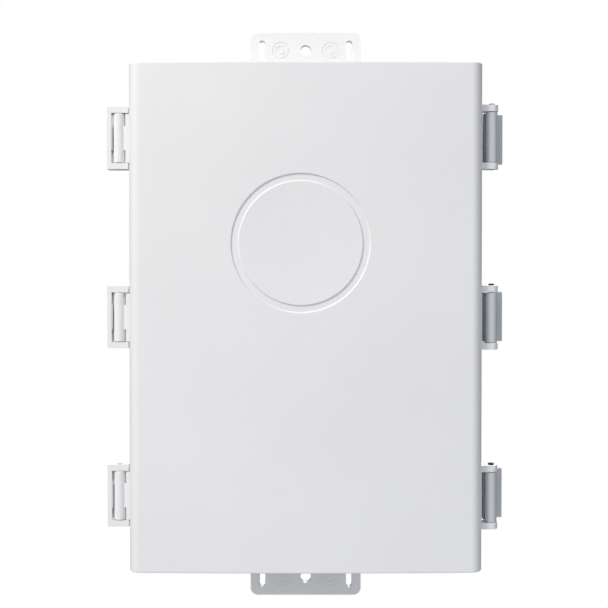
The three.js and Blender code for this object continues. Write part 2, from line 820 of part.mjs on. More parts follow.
const whitePlastic = finish(0xe6e7e9, 0.5);
const greyPlastic = finish(0x9aa0a6, 0.55);
const blackPlastic = finish(0x17181a, 0.5);
const blackRubber = finish(0x1b1c1e, 0.85);
const steel = finish(0xb4b6b8, 0.35, 1);
const blackSteel = finish(0x15171a, 0.4, 0.6);
const aluminium = finish(0xc4c7ca, 0.4, 1);
const tinPlate = finish(0xcfd0cf, 0.3, 1);
const brass = finish(0xc9a24c, 0.35, 1);
const patchLaminate = finish(0xd8cfa4, 0.6);
const boardGreen = finish(0x1f5a34, 0.5);
const nylon = finish(0xe8e4d6, 0.6);

// ---- Assembly ----
const bridge = new THREE.Group();
const cover = new THREE.Group();
bridge.add(cover);

function place(parent, name, solid, material, position = [0, 0, 0], rotation = [0, 0, 0]) {
  const mesh = new THREE.Mesh(toGeometry(solid), material());
  mesh.name = name;
  mesh.position.set(...position);
  mesh.rotation.set(...rotation);
  parent.add(mesh);
}

place(cover, "front_cover", frontCover(), whitePlastic);
place(cover, "cover_gasket", coverGasket(), blackRubber);
place(bridge, "rear_housing", rearHousing(), whitePlastic);
place(bridge, "mounting_plate", mountingPlate(), whitePlastic);

stationZ.forEach((z, index) => {
  const station = stationNames[index];
  place(bridge, `hinge_frame_${station}`, hingeFrame(), whitePlastic, [0, 0, z]);
  place(bridge, `hinge_pin_${station}`, hingePin(), steel, [0, 0, z]);
  place(cover, `latch_pin_${station}`, latchPin(), blackSteel, [0, 0, z]);
  place(cover, `latch_lever_${station}`, latchLever(), whitePlastic, [0, 0, z]);
  [frameScrewZ, -frameScrewZ].forEach((offset, row) => {
    const headX = -(housingHalfWidth + 2 * seatGap + flangeThickness);
    const name = `hinge_screw_${station}_${row + 1}`;
    place(bridge, name, screw(frameScrew), steel, [headX, frameScrewY, z + offset], [0, 0, -Math.PI / 2]);
  });
});

plateScrewPlaces.forEach(({ x, z }, index) => {
  const y = seatGap - counterboreDepth;
  place(bridge, `plate_screw_${index + 1}`, screw(plateScrew), steel, [x, y, z], [Math.PI, 0, 0]);
});

place(bridge, "antenna_board", antennaBoard(), patchLaminate);
place(bridge, "antenna_reflector", antennaReflector(), aluminium);
antennaScrewPlaces.forEach((spot, index) => {
  const headY = antennaBoardFrontY - seatGap;
  place(bridge, `antenna_spacer_${index + 1}`, antennaSpacer(spot), nylon);
  place(bridge, `antenna_screw_${index + 1}`, screw(antennaScrew), steel, [spot.x, headY, spot.z]);
});

place(bridge, "radio_board", radioBoard(), boardGreen);
boardScrewPlaces.forEach(({ x, z }, index) => {
  place(bridge, `board_screw_${index + 1}`, screw(boardScrew), steel, [x, onBoardY, z]);
});
const can = shieldCan;
const canSolid = onBoard(-can.width / 2, boardMiddle - can.height / 2, can.width, can.height, can.depth);
place(bridge, "shield_can", canSolid, tinPlate);
place(bridge, "heat_spreader", heatSpreader(), aluminium);
place(bridge, "ethernet_jack", ethernetJack(), tinPlate);
const { x: coreX, rise: coreRise, size: coreSize, depth: coreDepth } = transformer;
const core = onBoard(coreX, boardBottom + coreRise, coreSize, coreSize, coreDepth);
place(bridge, "poe_transformer", core, blackPlastic);
place(bridge, "surge_arrester", surgeArrester(), tinPlate);
place(bridge, "reset_switch", resetSwitch(), blackPlastic);
place(bridge, "reset_button", resetButton(), greyPlastic);

[-1, 1].forEach((side, index) => {
  place(bridge, `coax_plug_${sides[index]}`, coaxPlug(side), brass);
  place(bridge, `antenna_lead_${sides[index]}`, antennaLead(side), blackPlastic);
});

place(bridge, "gland_body", glandBody(), greyPlastic);
place(bridge, "gland_seal", glandSeal(), blackRubber);
place(bridge, "gland_cap", glandCap(), greyPlastic);
const locknut = nut(glandX, [aboveRoofZ, aboveRoofZ + locknutHeight], locknutCorner, threadRadius);
place(bridge, "gland_locknut", locknut, greyPlastic);
const blank = entryStopper(plugX, blankHead.radius, blankHead.height, threadRadius, 24);
place(bridge, "entry_plug", blank, greyPlastic);
const vent = entryStopper(ventX, ventHead.radius, ventHead.height, ventThreadRadius, 12);
place(bridge, "pressure_vent", vent, blackPlastic);
place(bridge, "earth_bolt", earthBolt(), steel);
const earthNutRange = [underRoofZ - earthNutHeight, underRoofZ];
place(bridge, "earth_nut", nut(earthX, earthNutRange, earthHexCorner, earthRadius), brass);

export default bridge;
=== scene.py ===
import json
import math
import random
import bmesh
import bpy
from mathutils import Euler, Matrix, Vector


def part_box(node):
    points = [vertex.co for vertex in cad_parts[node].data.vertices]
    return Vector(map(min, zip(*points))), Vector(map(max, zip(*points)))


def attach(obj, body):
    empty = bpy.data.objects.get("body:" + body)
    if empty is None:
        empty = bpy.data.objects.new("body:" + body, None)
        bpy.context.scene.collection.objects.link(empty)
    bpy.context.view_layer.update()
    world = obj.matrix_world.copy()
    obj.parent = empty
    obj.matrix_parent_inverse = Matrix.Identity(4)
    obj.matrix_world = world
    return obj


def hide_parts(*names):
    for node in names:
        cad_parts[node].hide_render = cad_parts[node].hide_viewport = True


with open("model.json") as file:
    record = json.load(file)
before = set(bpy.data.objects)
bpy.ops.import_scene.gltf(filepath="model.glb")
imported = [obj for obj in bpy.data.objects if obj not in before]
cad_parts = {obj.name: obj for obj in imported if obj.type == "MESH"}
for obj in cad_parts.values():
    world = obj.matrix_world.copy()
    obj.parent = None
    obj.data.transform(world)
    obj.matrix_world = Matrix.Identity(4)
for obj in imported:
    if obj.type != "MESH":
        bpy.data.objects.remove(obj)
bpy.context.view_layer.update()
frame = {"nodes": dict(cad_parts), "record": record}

mm = 0.001
mergeDistance = 1e-6  # points nearer than this become one
hair = 1e-7  # margin when two places are compared
flatAngle = 0.5  # degrees between faces that count as one flat face
sharpAngle = 20  # degrees past which an edge stays sharp
over = 1 * mm  # how far a cutter runs past a face
cornerSteps = 6  # segments of a rounded corner
print("stage: frame loaded")


# helpers for meshes
def meshObject(name, bm):
    mesh = bpy.data.meshes.new(name)
    bm.to_mesh(mesh)
    bm.free()
    obj = bpy.data.objects.new(name, mesh)
    bpy.context.scene.collection.objects.link(obj)
    return obj


def dress(obj, material, smooth=sharpAngle):
    obj.data.materials.clear()
    obj.data.materials.append(material)
    obj.data.shade_smooth()
    obj.data.set_sharp_from_angle(angle=math.radians(smooth))
    return obj


def ridesOn(obj, body, nodes=()):
    # the weighted normals keep large flat faces flat beside small bevels
    obj.modifiers.new("evenShading", "WEIGHTED_NORMAL").keep_sharp = True
    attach(obj, body)
    if nodes:
        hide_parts(*nodes)
    return obj


def absorb(bm, other):
    # adds another bmesh's faces to this one
    scratch = bpy.data.meshes.new("scratch")
    other.to_mesh(scratch)
    other.free()
    bm.from_mesh(scratch)
    bpy.data.meshes.remove(scratch)


def addBox(bm, low, high, edge=0.0, segments=2):
    part = bmesh.new()
    size = Vector(high) - Vector(low)
    middle = (Vector(high) + Vector(low)) / 2
    bmesh.ops.create_cube(part, size=1, matrix=Matrix.Translation(middle) @ Matrix.Diagonal((*size, 1)))
    if edge > 0:
        bmesh.ops.bevel(part, geom=part.edges[:], offset=edge, segments=segments, profile=0.5,
                        affect="EDGES")
    absorb(bm, part)


def bridge(bm, lower, upper):
    # faces between two rings; a ring of one point is a pole
    count = max(len(lower), len(upper))
    if count == 1:
        return
    for k in range(count):
        n = (k + 1) % count
        if len(lower) == 1:
            bm.faces.new((lower[0], upper[n], upper[k]))
        elif len(upper) == 1:
            bm.faces.new((lower[k], lower[n], upper[0]))
        else:
            bm.faces.new((lower[k], lower[n], upper[n], upper[k]))


def addLathe(bm, profile, place=Matrix.Identity(4), segments=48):
    # turns a closed profile of (radius, height) points about Z; points on the axis become poles
    part = bmesh.new()
    rings = []
    for radius, height in profile:
        if radius < hair:
            rings.append([part.verts.new((0, 0, height))])
            continue
        turn = [2 * math.pi * k / segments for k in range(segments)]
        rings.append([part.verts.new((radius * math.cos(a), radius * math.sin(a), height)) for a in turn])
    for lower, upper in zip(rings, rings[1:] + rings[:1]):
        bridge(part, lower, upper)
    bmesh.ops.recalc_face_normals(part, faces=part.faces)
    part.transform(place)
    absorb(bm, part)


def addPrism(bm, outline, low, high, axes="XY"):
    # an outline in two axes, extruded along the third
    part = bmesh.new()

    def at(point, height):
        a, b = point
        return (a, b, height) if axes == "XY" else (a, height, b)

    bottom = [part.verts.new(at(p, low)) for p in outline]
    top = [part.verts.new(at(p, high)) for p in outline]
    part.faces.new(bottom)
    part.faces.new(list(reversed(top)))
    for k in range(len(outline)):
        n = (k + 1) % len(outline)
        part.faces.new((bottom[n], bottom[k], top[k], top[n]))
    bmesh.ops.recalc_face_normals(part, faces=part.faces)
    absorb(bm, part)


def arc(centre, radius, start, stop, steps):
    turns = [math.radians(start + (stop - start) * k / steps) for k in range(steps + 1)]
    return [(centre[0] + radius * math.cos(a), centre[1] + radius * math.sin(a)) for a in turns]


def boxed(low, high, edge=0.0, segments=2):
    bm = bmesh.new()
    addBox(bm, low, high, edge, segments)
    return bm


def lathed(profile, place=Matrix.Identity(4), segments=48):
    bm = bmesh.new()
    addLathe(bm, profile, place, segments)
    return bm


def extruded(outline, low, high, axes="XY"):
    bm = bmesh.new()
    addPrism(bm, outline, low, high, axes)
    return bm


def turnTo(direction, at):
    # places a lathe's +Z along a direction, with its origin at a point
    return Matrix.Translation(at) @ Vector(direction).to_track_quat("Z", "Y").to_matrix().to_4x4()


def drum(radius, low, high):
    # profile of a plain cylinder
    return [(0, low), (radius, low), (radius, high), (0, high)]


def axisOf(node):
    low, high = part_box(node)
    return (low + high) / 2


def spanOf(node):
    # a node's box and its middle
    low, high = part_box(node)
    return low, high, (low + high) / 2


def carve(obj, cutter, operation="DIFFERENCE"):
    tool = meshObject("cutter", cutter)
    step = obj.modifiers.new("cut", "BOOLEAN")
    step.object = tool
    step.operation = operation
    step.solver = "EXACT"
    flatten(obj)
    bpy.data.objects.remove(tool)
    return obj


def flatten(obj):
    # replaces the object's mesh by what its modifiers give
    graph = bpy.context.evaluated_depsgraph_get()
    graph.update()
    result = bpy.data.meshes.new_from_object(obj.evaluated_get(graph))
    obj.modifiers.clear()
    old = obj.data
    obj.data = result
    bpy.data.meshes.remove(old)
    return obj


def soften(obj, width, segments=2, angle=35):
    # joins coplanar faces and rounds the edges that stay
    bm = bmesh.new()
    bm.from_mesh(obj.data)
    bmesh.ops.remove_doubles(bm, verts=bm.verts, dist=mergeDistance)
    bmesh.ops.dissolve_limit(bm, angle_limit=math.radians(flatAngle), verts=bm.verts, edges=bm.edges)
    bm.to_mesh(obj.data)
    bm.free()
    step = obj.modifiers.new("round", "BEVEL")
    step.width = width
    step.segments = segments
    step.limit_method = "ANGLE"
    step.angle_limit = math.radians(angle)
    step.use_clamp_overlap = True
    step.harden_normals = False
    return flatten(obj)


def refined(name, node, width, segments=2):
    # a copy of a CAD node with its doubles merged and its edges rounded
    bm = bmesh.new()
    bm.from_mesh(frame["nodes"][node].data)
    bmesh.ops.remove_doubles(bm, verts=bm.verts, dist=mergeDistance)
    obj = meshObject(name, bm)
    return soften(obj, width, segments)


# finishes
def blankMaterial(name, color, roughness, metallic=0.0):
    material = bpy.data.materials.new(name)
    material.use_nodes = True
    shader = material.node_tree.nodes["Principled BSDF"]
    shader.inputs["Base Color"].default_value = (*color, 1)
    shader.inputs["Roughness"].default_value = roughness
    shader.inputs["Metallic"].default_value = metallic
    shader.inputs["Specular IOR Level"].default_value = 0.5
    return material, shader


def noiseNode(material, scale, detail=2.0, stretch=None):
    nodes, links = material.node_tree.nodes, material.node_tree.links
    coords = nodes.new("ShaderNodeTexCoord")
    noiseTexture = nodes.new("ShaderNodeTexNoise")
    noiseTexture.inputs["Scale"].default_value = scale
    noiseTexture.inputs["Detail"].default_value = detail
    source = coords.outputs["Object"]
    if stretch:
        mapping = nodes.new("ShaderNodeMapping")
        mapping.inputs["Scale"].default_value = stretch
        links.new(source, mapping.inputs["Vector"])
        source = mapping.outputs["Vector"]
    links.new(source, noiseTexture.inputs["Vector"])
    return noiseTexture


def varyColor(material, shader, dark, light, scale, stretch=None):
    nodes, links = material.node_tree.nodes, material.node_tree.links
    ramp = nodes.new("ShaderNodeValToRGB")
    for stop, position, color in zip(ramp.color_ramp.elements, (0.35, 0.65), (dark, light)):
        stop.position = position
        stop.color = (*color, 1)
    links.new(noiseNode(material, scale, 3.0, stretch).outputs["Fac"], ramp.inputs["Fac"])
    links.new(ramp.outputs["Color"], shader.inputs["Base Color"])


def varyRoughness(material, shader, low, high, scale, stretch=None):
    nodes, links = material.node_tree.nodes, material.node_tree.links
    spread = nodes.new("ShaderNodeMapRange")
    spread.inputs["To Min"].default_value = low
    spread.inputs["To Max"].default_value = high
    links.new(noiseNode(material, scale, 4.0, stretch).outputs["Fac"], spread.inputs["Value"])
    links.new(spread.outputs["Result"], shader.inputs["Roughness"])


def addGrain(material, shader, scale, depth, stretch=None):
    nodes, links = material.node_tree.nodes, material.node_tree.links
    bump = nodes.new("ShaderNodeBump")
    bump.inputs["Strength"].default_value = 1.0
    bump.inputs["Distance"].default_value = depth
    links.new(noiseNode(material, scale, 2.0, stretch).outputs["Fac"], bump.inputs["Height"])
    links.new(bump.outputs["Normal"], shader.inputs["Normal"])


def mouldedPlastic(name, color, roughness, spread=0.03, grain=0.02 * mm):
    material, shader = blankMaterial(name, color, roughness)
    shader.inputs["IOR"].default_value = 1.47
    dark = [c * (1 - spread) for c in color]
    light = [min(1.0, c * (1 + spread)) for c in color]
    varyColor(material, shader, dark, light, 14.0)
    varyRoughness(material, shader, roughness - 0.06, roughness + 0.06, 60.0)
    addGrain(material, shader, 2200.0, grain)
    return material


def brushedMetal(name, color, roughness, stretch, depth=0.01 * mm):
    material, shader = blankMaterial(name, color, roughness, metallic=1.0)
    varyColor(material, shader, [c * 0.92 for c in color], color, 90.0, stretch)
    varyRoughness(material, shader, roughness - 0.08, roughness + 0.1, 160.0, stretch)
    addGrain(material, shader, 700.0, depth, stretch)
    return material


def solderMask():
    material, shader = blankMaterial("solderMask", (0.03, 0.17, 0.07), 0.32)
    varyColor(material, shader, (0.022, 0.12, 0.05), (0.045, 0.2, 0.085), 260.0, (1, 1, 0.15))
    varyRoughness(material, shader, 0.25, 0.4, 300.0)
    addGrain(material, shader, 900.0, 0.03 * mm, (1, 1, 0.15))
    return material


finishes = {
    "white": mouldedPlastic("whiteMoulding", (0.815, 0.822, 0.836), 0.42, 0.012),
    "grey": mouldedPlastic("greyMoulding", (0.42, 0.45, 0.48), 0.45, 0.04),
    # a darker copy of the white moulding: painted shade for the latch levers, which sit in the lid's
    # shadow
    "leverShadedWhite": mouldedPlastic("leverShadedMoulding", (0.6, 0.635, 0.655), 0.26, 0.02),
    "black": mouldedPlastic("blackMoulding", (0.03, 0.031, 0.034), 0.42, 0.1),
    "rubber": mouldedPlastic("blackRubber", (0.022, 0.022, 0.024), 0.75, 0.15, 0.04 * mm),
    "steel": brushedMetal("stainlessSteel", (0.62, 0.63, 0.64), 0.3, (1, 1, 1)),
    "oxide": mouldedPlastic("blackOxide", (0.008, 0.008, 0.009), 0.6, 0.2),
    "aluminium": brushedMetal("sheetAluminium", (0.72, 0.73, 0.74), 0.36, (1, 1, 0.06)),
    "tin": brushedMetal("tinPlate", (0.74, 0.74, 0.71), 0.26, (0.1, 1, 1)),
    "brass": brushedMetal("turnedBrass", (0.78, 0.58, 0.26), 0.28, (1, 1, 1)),
    "copper": brushedMetal("etchedCopper", (0.83, 0.46, 0.28), 0.34, (1, 1, 1)),
    "laminate": mouldedPlastic("bareLaminate", (0.66, 0.6, 0.38), 0.5, 0.06),
    "mask": solderMask(),
    "nylon": mouldedPlastic("naturalNylon", (0.78, 0.76, 0.68), 0.5, 0.03),
}
print("stage: finishes made")


def finished(obj, finish, body, slotName, *nodes):
    # gives a piece its finish, its body and the CAD nodes that it stands for
    return ridesOn(dress(obj, finishes[finish]), body, nodes)


def inFinish(bm, finish):
    # a loose part of a joined piece
    return dress(meshObject("part", bm), finishes[finish])



# smooth outlines, rows and rings
def filleted(points):
    # closed outline from (x, y) or (x, y, radius) corners
    outline = []
    count = len(points)
    for k in range(count):
        here = Vector(points[k][:2])
        radius = points[k][2] if len(points[k]) > 2 else 0
        before = (Vector(points[k - 1][:2]) - here).normalized()
        after = (Vector(points[(k + 1) % count][:2]) - here).normalized()
        if radius <= 0:
            outline.append(tuple(here))
            continue
        half = before.angle(after) / 2
        centre = here + (before + after).normalized() * (radius / math.sin(half))
        start = here + before * (radius / math.tan(half)) - centre
        stop = here + after * (radius / math.tan(half)) - centre
        for step in range(cornerSteps + 1):
            mixed = start.lerp(stop, step / cornerSteps).normalized() * radius
            outline.append(tuple(centre + mixed))
    return outline


def roundedBox(left, low, right, high, radius):
    corners = ((left, low), (right, low), (right, high), (left, high))
    return filleted([(x, y, radius) for x, y in corners])


def newTree(name, sockets):
    tree = bpy.data.node_groups.new(name, "GeometryNodeTree")
    tree.interface.new_socket("Geometry", in_out="INPUT", socket_type="NodeSocketGeometry")
    tree.interface.new_socket("Geometry", in_out="OUTPUT", socket_type="NodeSocketGeometry")
    for label, kind in sockets:
        tree.interface.new_socket(label, in_out="INPUT", socket_type="NodeSocket" + kind)
    return tree, tree.nodes.new("NodeGroupInput"), tree.nodes.new("NodeGroupOutput")


def addNode(tree, kind, values=None, **settings):
    node = tree.nodes.new(kind)
    for key, value in settings.items():
        setattr(node, key, value)
    for key, value in (values or {}).items():
        if isinstance(value, bpy.types.NodeSocket):
            tree.links.new(value, node.inputs[key])
        else:
            node.inputs[key].default_value = value
    return node


def finishTree(tree, source, sink, geometry):
    real = addNode(tree, "GeometryNodeRealizeInstances", {"Geometry": geometry})
    painted = addNode(tree, "GeometryNodeSetMaterial", {
        "Geometry": real.outputs["Geometry"], "Material": source.outputs["Finish"]})
    tree.links.new(painted.outputs["Geometry"], sink.inputs["Geometry"])
    return tree


def growOn(obj, tree, values):
    # runs a tree on an object's places and keeps the plain mesh that it gives
    step = obj.modifiers.new("grow", "NODES")
    step.node_group = tree
    for item in tree.interface.items_tree:
        if item.in_out == "INPUT" and item.name in values:
            step[item.identifier] = values[item.name]
    return flatten(obj)


def grown(name, treeName, values, finish, bm=None):
    obj = meshObject(name, bm or bmesh.new())
    growOn(obj, trees[treeName], {**values, "Finish": finishes[finish]})
    return dress(obj, finishes[finish])


# shares of the head's radius or height, and of the shank's length
screwShape = {"sides": 32, "rings": 16, "shankSides": 16, "dome": 1.25, "crossLength": 1.15,
              "crossWidth": 0.26, "crossDepth": 1.1, "sink": -0.498, "seed": 11, "spin": 1.5}


def screwTree():
    # pan heads with a cross recess on the places, head up +Z before the turn
    shape = screwShape
    sockets = [("Head Radius", "Float"), ("Head Height", "Float"), ("Shank Radius", "Float"),
               ("Length", "Float"), ("Turn", "Vector"), ("Finish", "Material")]
    tree, source, sink = newTree("screws", sockets)
    given = source.outputs

    def scaled(socket, factor):
        return addNode(tree, "ShaderNodeMath", {0: socket, 1: factor}, operation="MULTIPLY").outputs[0]

    def vector(x, y, z):
        return addNode(tree, "ShaderNodeCombineXYZ", {0: x, 1: y, 2: z}).outputs[0]

    radius, height = given["Head Radius"], given["Head Height"]
    ball = addNode(tree, "GeometryNodeMeshUVSphere", {
        "Segments": shape["sides"], "Rings": shape["rings"], "Radius": 1.0})
    wide = scaled(radius, shape["dome"])
    dome = addNode(tree, "GeometryNodeTransform", {
        "Geometry": ball.outputs["Mesh"], "Scale": vector(wide, wide, height)})
    disc = addNode(tree, "GeometryNodeMeshCylinder", {
        "Vertices": shape["sides"], "Radius": radius, "Depth": height})
    discUp = addNode(tree, "GeometryNodeTransform", {
        "Geometry": disc.outputs["Mesh"], "Translation": vector(0.0, 0.0, scaled(height, 0.5))})
    head = addNode(tree, "GeometryNodeMeshBoolean", operation="INTERSECT")
    tree.links.new(dome.outputs["Geometry"], head.inputs["Mesh 2"])
    tree.links.new(discUp.outputs["Geometry"], head.inputs["Mesh 2"])
    cross = addNode(tree, "GeometryNodeMeshBoolean", operation="DIFFERENCE")
    tree.links.new(head.outputs["Mesh"], cross.inputs["Mesh 1"])
    long = scaled(radius, shape["crossLength"])
    slim = scaled(radius, shape["crossWidth"])
    deep = scaled(height, shape["crossDepth"])
    for size in (vector(long, slim, deep), vector(slim, long, deep)):
        bar = addNode(tree, "GeometryNodeMeshCube", {"Size": size})
        raised = addNode(tree, "GeometryNodeTransform", {
            "Geometry": bar.outputs["Mesh"], "Translation": vector(0.0, 0.0, height)})
        tree.links.new(raised.outputs["Geometry"], cross.inputs["Mesh 2"])
    shank = addNode(tree, "GeometryNodeMeshCylinder", {
        "Vertices": shape["shankSides"], "Radius": given["Shank Radius"], "Depth": given["Length"]})
    sunk = addNode(tree, "GeometryNodeTransform", {
        "Geometry": shank.outputs["Mesh"],
        "Translation": vector(0.0, 0.0, scaled(given["Length"], shape["sink"]))})
    both = addNode(tree, "GeometryNodeJoinGeometry")
    tree.links.new(cross.outputs["Mesh"], both.inputs["Geometry"])
    tree.links.new(sunk.outputs["Geometry"], both.inputs["Geometry"])
    spin = addNode(tree, "FunctionNodeRandomValue", {
        "Seed": shape["seed"], 3: shape["spin"]}, data_type="FLOAT")
    turned = addNode(tree, "FunctionNodeRotateEuler", {
        "Rotation": vector(0.0, 0.0, spin.outputs[1]), "Rotate By": given["Turn"]})
    placed = addNode(tree, "GeometryNodeInstanceOnPoints", {
        "Points": given["Geometry"], "Instance": both.outputs["Geometry"],
        "Rotation": turned.outputs["Rotation"]})
    return finishTree(tree, source, sink, placed.outputs["Instances"])


def rowTree():
    # equal bars along a line: ribs, fins, contacts
    sockets = [("Count", "Int"), ("Start", "Vector"), ("Step", "Vector"), ("Size", "Vector"),
               ("Finish", "Material")]
    tree, source, sink = newTree("rowOfBars", sockets)
    given = source.outputs
    line = addNode(tree, "GeometryNodeMeshLine", {
        "Count": given["Count"], "Start Location": given["Start"], "Offset": given["Step"]})
    bar = addNode(tree, "GeometryNodeMeshCube", {"Size": given["Size"]})
    placed = addNode(tree, "GeometryNodeInstanceOnPoints", {
        "Points": line.outputs["Mesh"], "Instance": bar.outputs["Mesh"]})
    return finishTree(tree, source, sink, placed.outputs["Instances"])


def ringTree():
    # upright bars round a centre: grip ribs on caps and plugs
    sockets = [("Count", "Int"), ("Radius", "Float"), ("Centre", "Vector"), ("Size", "Vector"),
               ("Finish", "Material")]
    tree, source, sink = newTree("ringOfBars", sockets)
    given = source.outputs
    ring = addNode(tree, "GeometryNodeMeshCircle", {"Vertices": given["Count"], "Radius": given["Radius"]})
    bar = addNode(tree, "GeometryNodeMeshCube", {"Size": given["Size"]})
    index = addNode(tree, "GeometryNodeInputIndex")
    share = addNode(tree, "ShaderNodeMath", {0: index.outputs[0], 1: given["Count"]}, operation="DIVIDE")
    angle = addNode(tree, "ShaderNodeMath", {0: share.outputs[0], 1: 2 * math.pi}, operation="MULTIPLY")
    turn = addNode(tree, "ShaderNodeCombineXYZ", {2: angle.outputs[0]})
    placed = addNode(tree, "GeometryNodeInstanceOnPoints", {
        "Points": ring.outputs["Mesh"], "Instance": bar.outputs["Mesh"], "Rotation": turn.outputs[0]})
    moved = addNode(tree, "GeometryNodeTransform", {
        "Geometry": placed.outputs["Instances"], "Translation": given["Centre"]})
    return finishTree(tree, source, sink, moved.outputs["Geometry"])


def patchTree():
    # rounded copper patches in a grid that faces the front
    sockets = [("Columns", "Int"), ("Rows", "Int"), ("Span", "Vector"), ("Centre", "Vector"),
               ("Side", "Float"), ("Corner", "Float"), ("Thickness", "Float"), ("Finish", "Material")]
    tree, source, sink = newTree("patches", sockets)
    given = source.outputs
    span = addNode(tree, "ShaderNodeSeparateXYZ", {0: given["Span"]})
    grid = addNode(tree, "GeometryNodeMeshGrid", {
        "Vertices X": given["Columns"], "Vertices Y": given["Rows"],
        "Size X": span.outputs[0], "Size Y": span.outputs[2]})
    square = addNode(tree, "GeometryNodeCurvePrimitiveQuadrilateral", {
        "Width": given["Side"], "Height": given["Side"]})
    rounded = addNode(tree, "GeometryNodeFilletCurve", {
        "Curve": square.outputs["Curve"], "Radius": given["Corner"], "Count": 4}, mode="POLY")
    filled = addNode(tree, "GeometryNodeFillCurve", {"Curve": rounded.outputs["Curve"]}, mode="NGONS")
    thick = addNode(tree, "GeometryNodeExtrudeMesh", {
        "Mesh": filled.outputs["Mesh"], "Offset Scale": given["Thickness"]})
    both = addNode(tree, "GeometryNodeJoinGeometry")
    tree.links.new(thick.outputs["Mesh"], both.inputs["Geometry"])
    placed = addNode(tree, "GeometryNodeInstanceOnPoints", {
        "Points": grid.outputs["Mesh"], "Instance": both.outputs["Geometry"]})
    moved = addNode(tree, "GeometryNodeTransform", {
        "Geometry": placed.outputs["Instances"], "Translation": given["Centre"],
        "Rotation": (math.pi / 2, 0, 0)})
    return finishTree(tree, source, sink, moved.outputs["Geometry"])


def chipTree():
    # small parts on the board: each one's size comes from its place
    tree, source, sink = newTree("chips", [("Finish", "Material")])
    given = source.outputs
    size = addNode(tree, "GeometryNodeInputNamedAttribute", {"Name": "size"}, data_type="FLOAT_VECTOR")
    body = addNode(tree, "GeometryNodeMeshCube", {"Size": (1.0, 1.0, 1.0)})
    placed = addNode(tree, "GeometryNodeInstanceOnPoints", {
        "Points": given["Geometry"], "Instance": body.outputs["Mesh"],
        "Scale": size.outputs["Attribute"]})
    return finishTree(tree, source, sink, placed.outputs["Instances"])


trees = {"screws": screwTree(), "row": rowTree(), "ring": ringTree(), "patches": patchTree(),
         "chips": chipTree()}


def places(points):
    bm = bmesh.new()
    for point in points:
        bm.verts.new(point)
    return bm


def joined(name, parts):
    # one object out of several, each keeping its own finish
    bm = bmesh.new()
    finishList = []
    for part in parts:
        start = len(bm.faces)
        bm.from_mesh(part.data)
        bm.faces.ensure_lookup_table()
        partFinish = part.data.materials[0]
        if partFinish not in finishList:
            finishList.append(partFinish)
        for face in bm.faces[start:]:
            face.material_index = finishList.index(partFinish)
        bpy.data.objects.remove(part)
    obj = meshObject(name, bm)
    for item in finishList:
        obj.data.materials.append(item)
    obj.data.shade_smooth()
    obj.data.set_sharp_from_angle(angle=math.radians(sharpAngle))
    return obj


print("stage: node trees ready")


# front cover: crowned skin with a plain roundel, hollow behind
coverForm = {"crown": 1.6 * mm, "sideRadius": 7 * mm, "wall": 2.5 * mm, "ledge": 1.2 * mm,
             "edge": 0.9 * mm, "support": 0.5 * mm, "gasketGap": 0.3 * mm}
coverMesh = {"face": 5 * mm, "side": 4 * mm, "hollow": 12 * mm, "turns": 10, "hollowTurns": 6,
             "edgeTurns": 6}
roundel = {"x": -3 * mm, "z": 45 * mm, "radius": 42 * mm, "ring": 5 * mm, "depth": 0.75 * mm,
           "slope": 0.7 * mm, "dish": 0.7 * mm, "patch": 48 * mm, "steps": 48, "margin": 2 * mm,
           "lead": 0.6 * mm, "dishLead": 0.5 * mm, "slopeSteps": 6, "dishSteps": 10}
pins = {"radius": 1.5 * mm, "headRadius": 1.9 * mm, "headHeight": 1.1 * mm, "chamfer": 0.3 * mm,
        "straight": 0.35, "dome": 0.65}
coverLow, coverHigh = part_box("front_cover")
housingLow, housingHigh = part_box("rear_housing")
gasketLow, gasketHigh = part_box("cover_gasket")
coverHalfHeight = coverHigh.z
coverHalfWidth = gasketHigh.x + coverForm["wall"] + coverForm["gasketGap"]
coverFrontY = coverLow.y
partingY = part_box("hinge_pin_middle")[0].y + pins["radius"]


def reliefDepth(x, z):
    # how far the skin is pressed in at a point of the face
    distance = math.hypot(x - roundel["x"], z - roundel["z"])
    outer, inner = roundel["radius"], roundel["radius"] - roundel["ring"]

    def smooth(t):
        t = min(1.0, max(0.0, t))
        return t * t * (3 - 2 * t)

    ring = roundel["depth"] * smooth((outer - distance) / roundel["slope"])
    ring *= smooth((distance - inner) / roundel["slope"])
    dish = roundel["dish"] * (1 - (distance / inner) ** 2) if distance < inner else 0
    return ring + dish


def spread(start, stop, step):
    count = max(1, round(abs(stop - start) / step))
    return [start + (stop - start) * k / count for k in range(count)]


def faceStops(half, centre):
    # grid lines along one side of the face, with even ones across the roundel's patch
    low, high = centre - roundel["patch"], centre + roundel["patch"]
    inside = [low + (high - low) * k / roundel["steps"] for k in range(roundel["steps"])]
    return spread(-half, low, coverMesh["face"]) + inside + spread(high, half, coverMesh["face"]) + [half]


def traySection(half, faceY, radius, crown, stops, arcSteps):
    # points of a tray's plan section with their outward directions, from the left rim to the right
    flatHalf = half - radius
    centreY = faceY + crown + radius
    left = [(-half, y, -1, 0) for y in spread(partingY, centreY, coverMesh["side"])]
    for k in range(arcSteps):
        a = math.pi / 2 * k / arcSteps
        outX, outY = -math.cos(a), -math.sin(a)
        left.append((-flatHalf + radius * outX, centreY + radius * outY, outX, outY))
    front = [(x, faceY + crown * (x / flatHalf) ** 2, 0, -1) for x in stops]
    right = [(-x, y, -nx, ny) for x, y, nx, ny in reversed(left)]
    return left + front + right


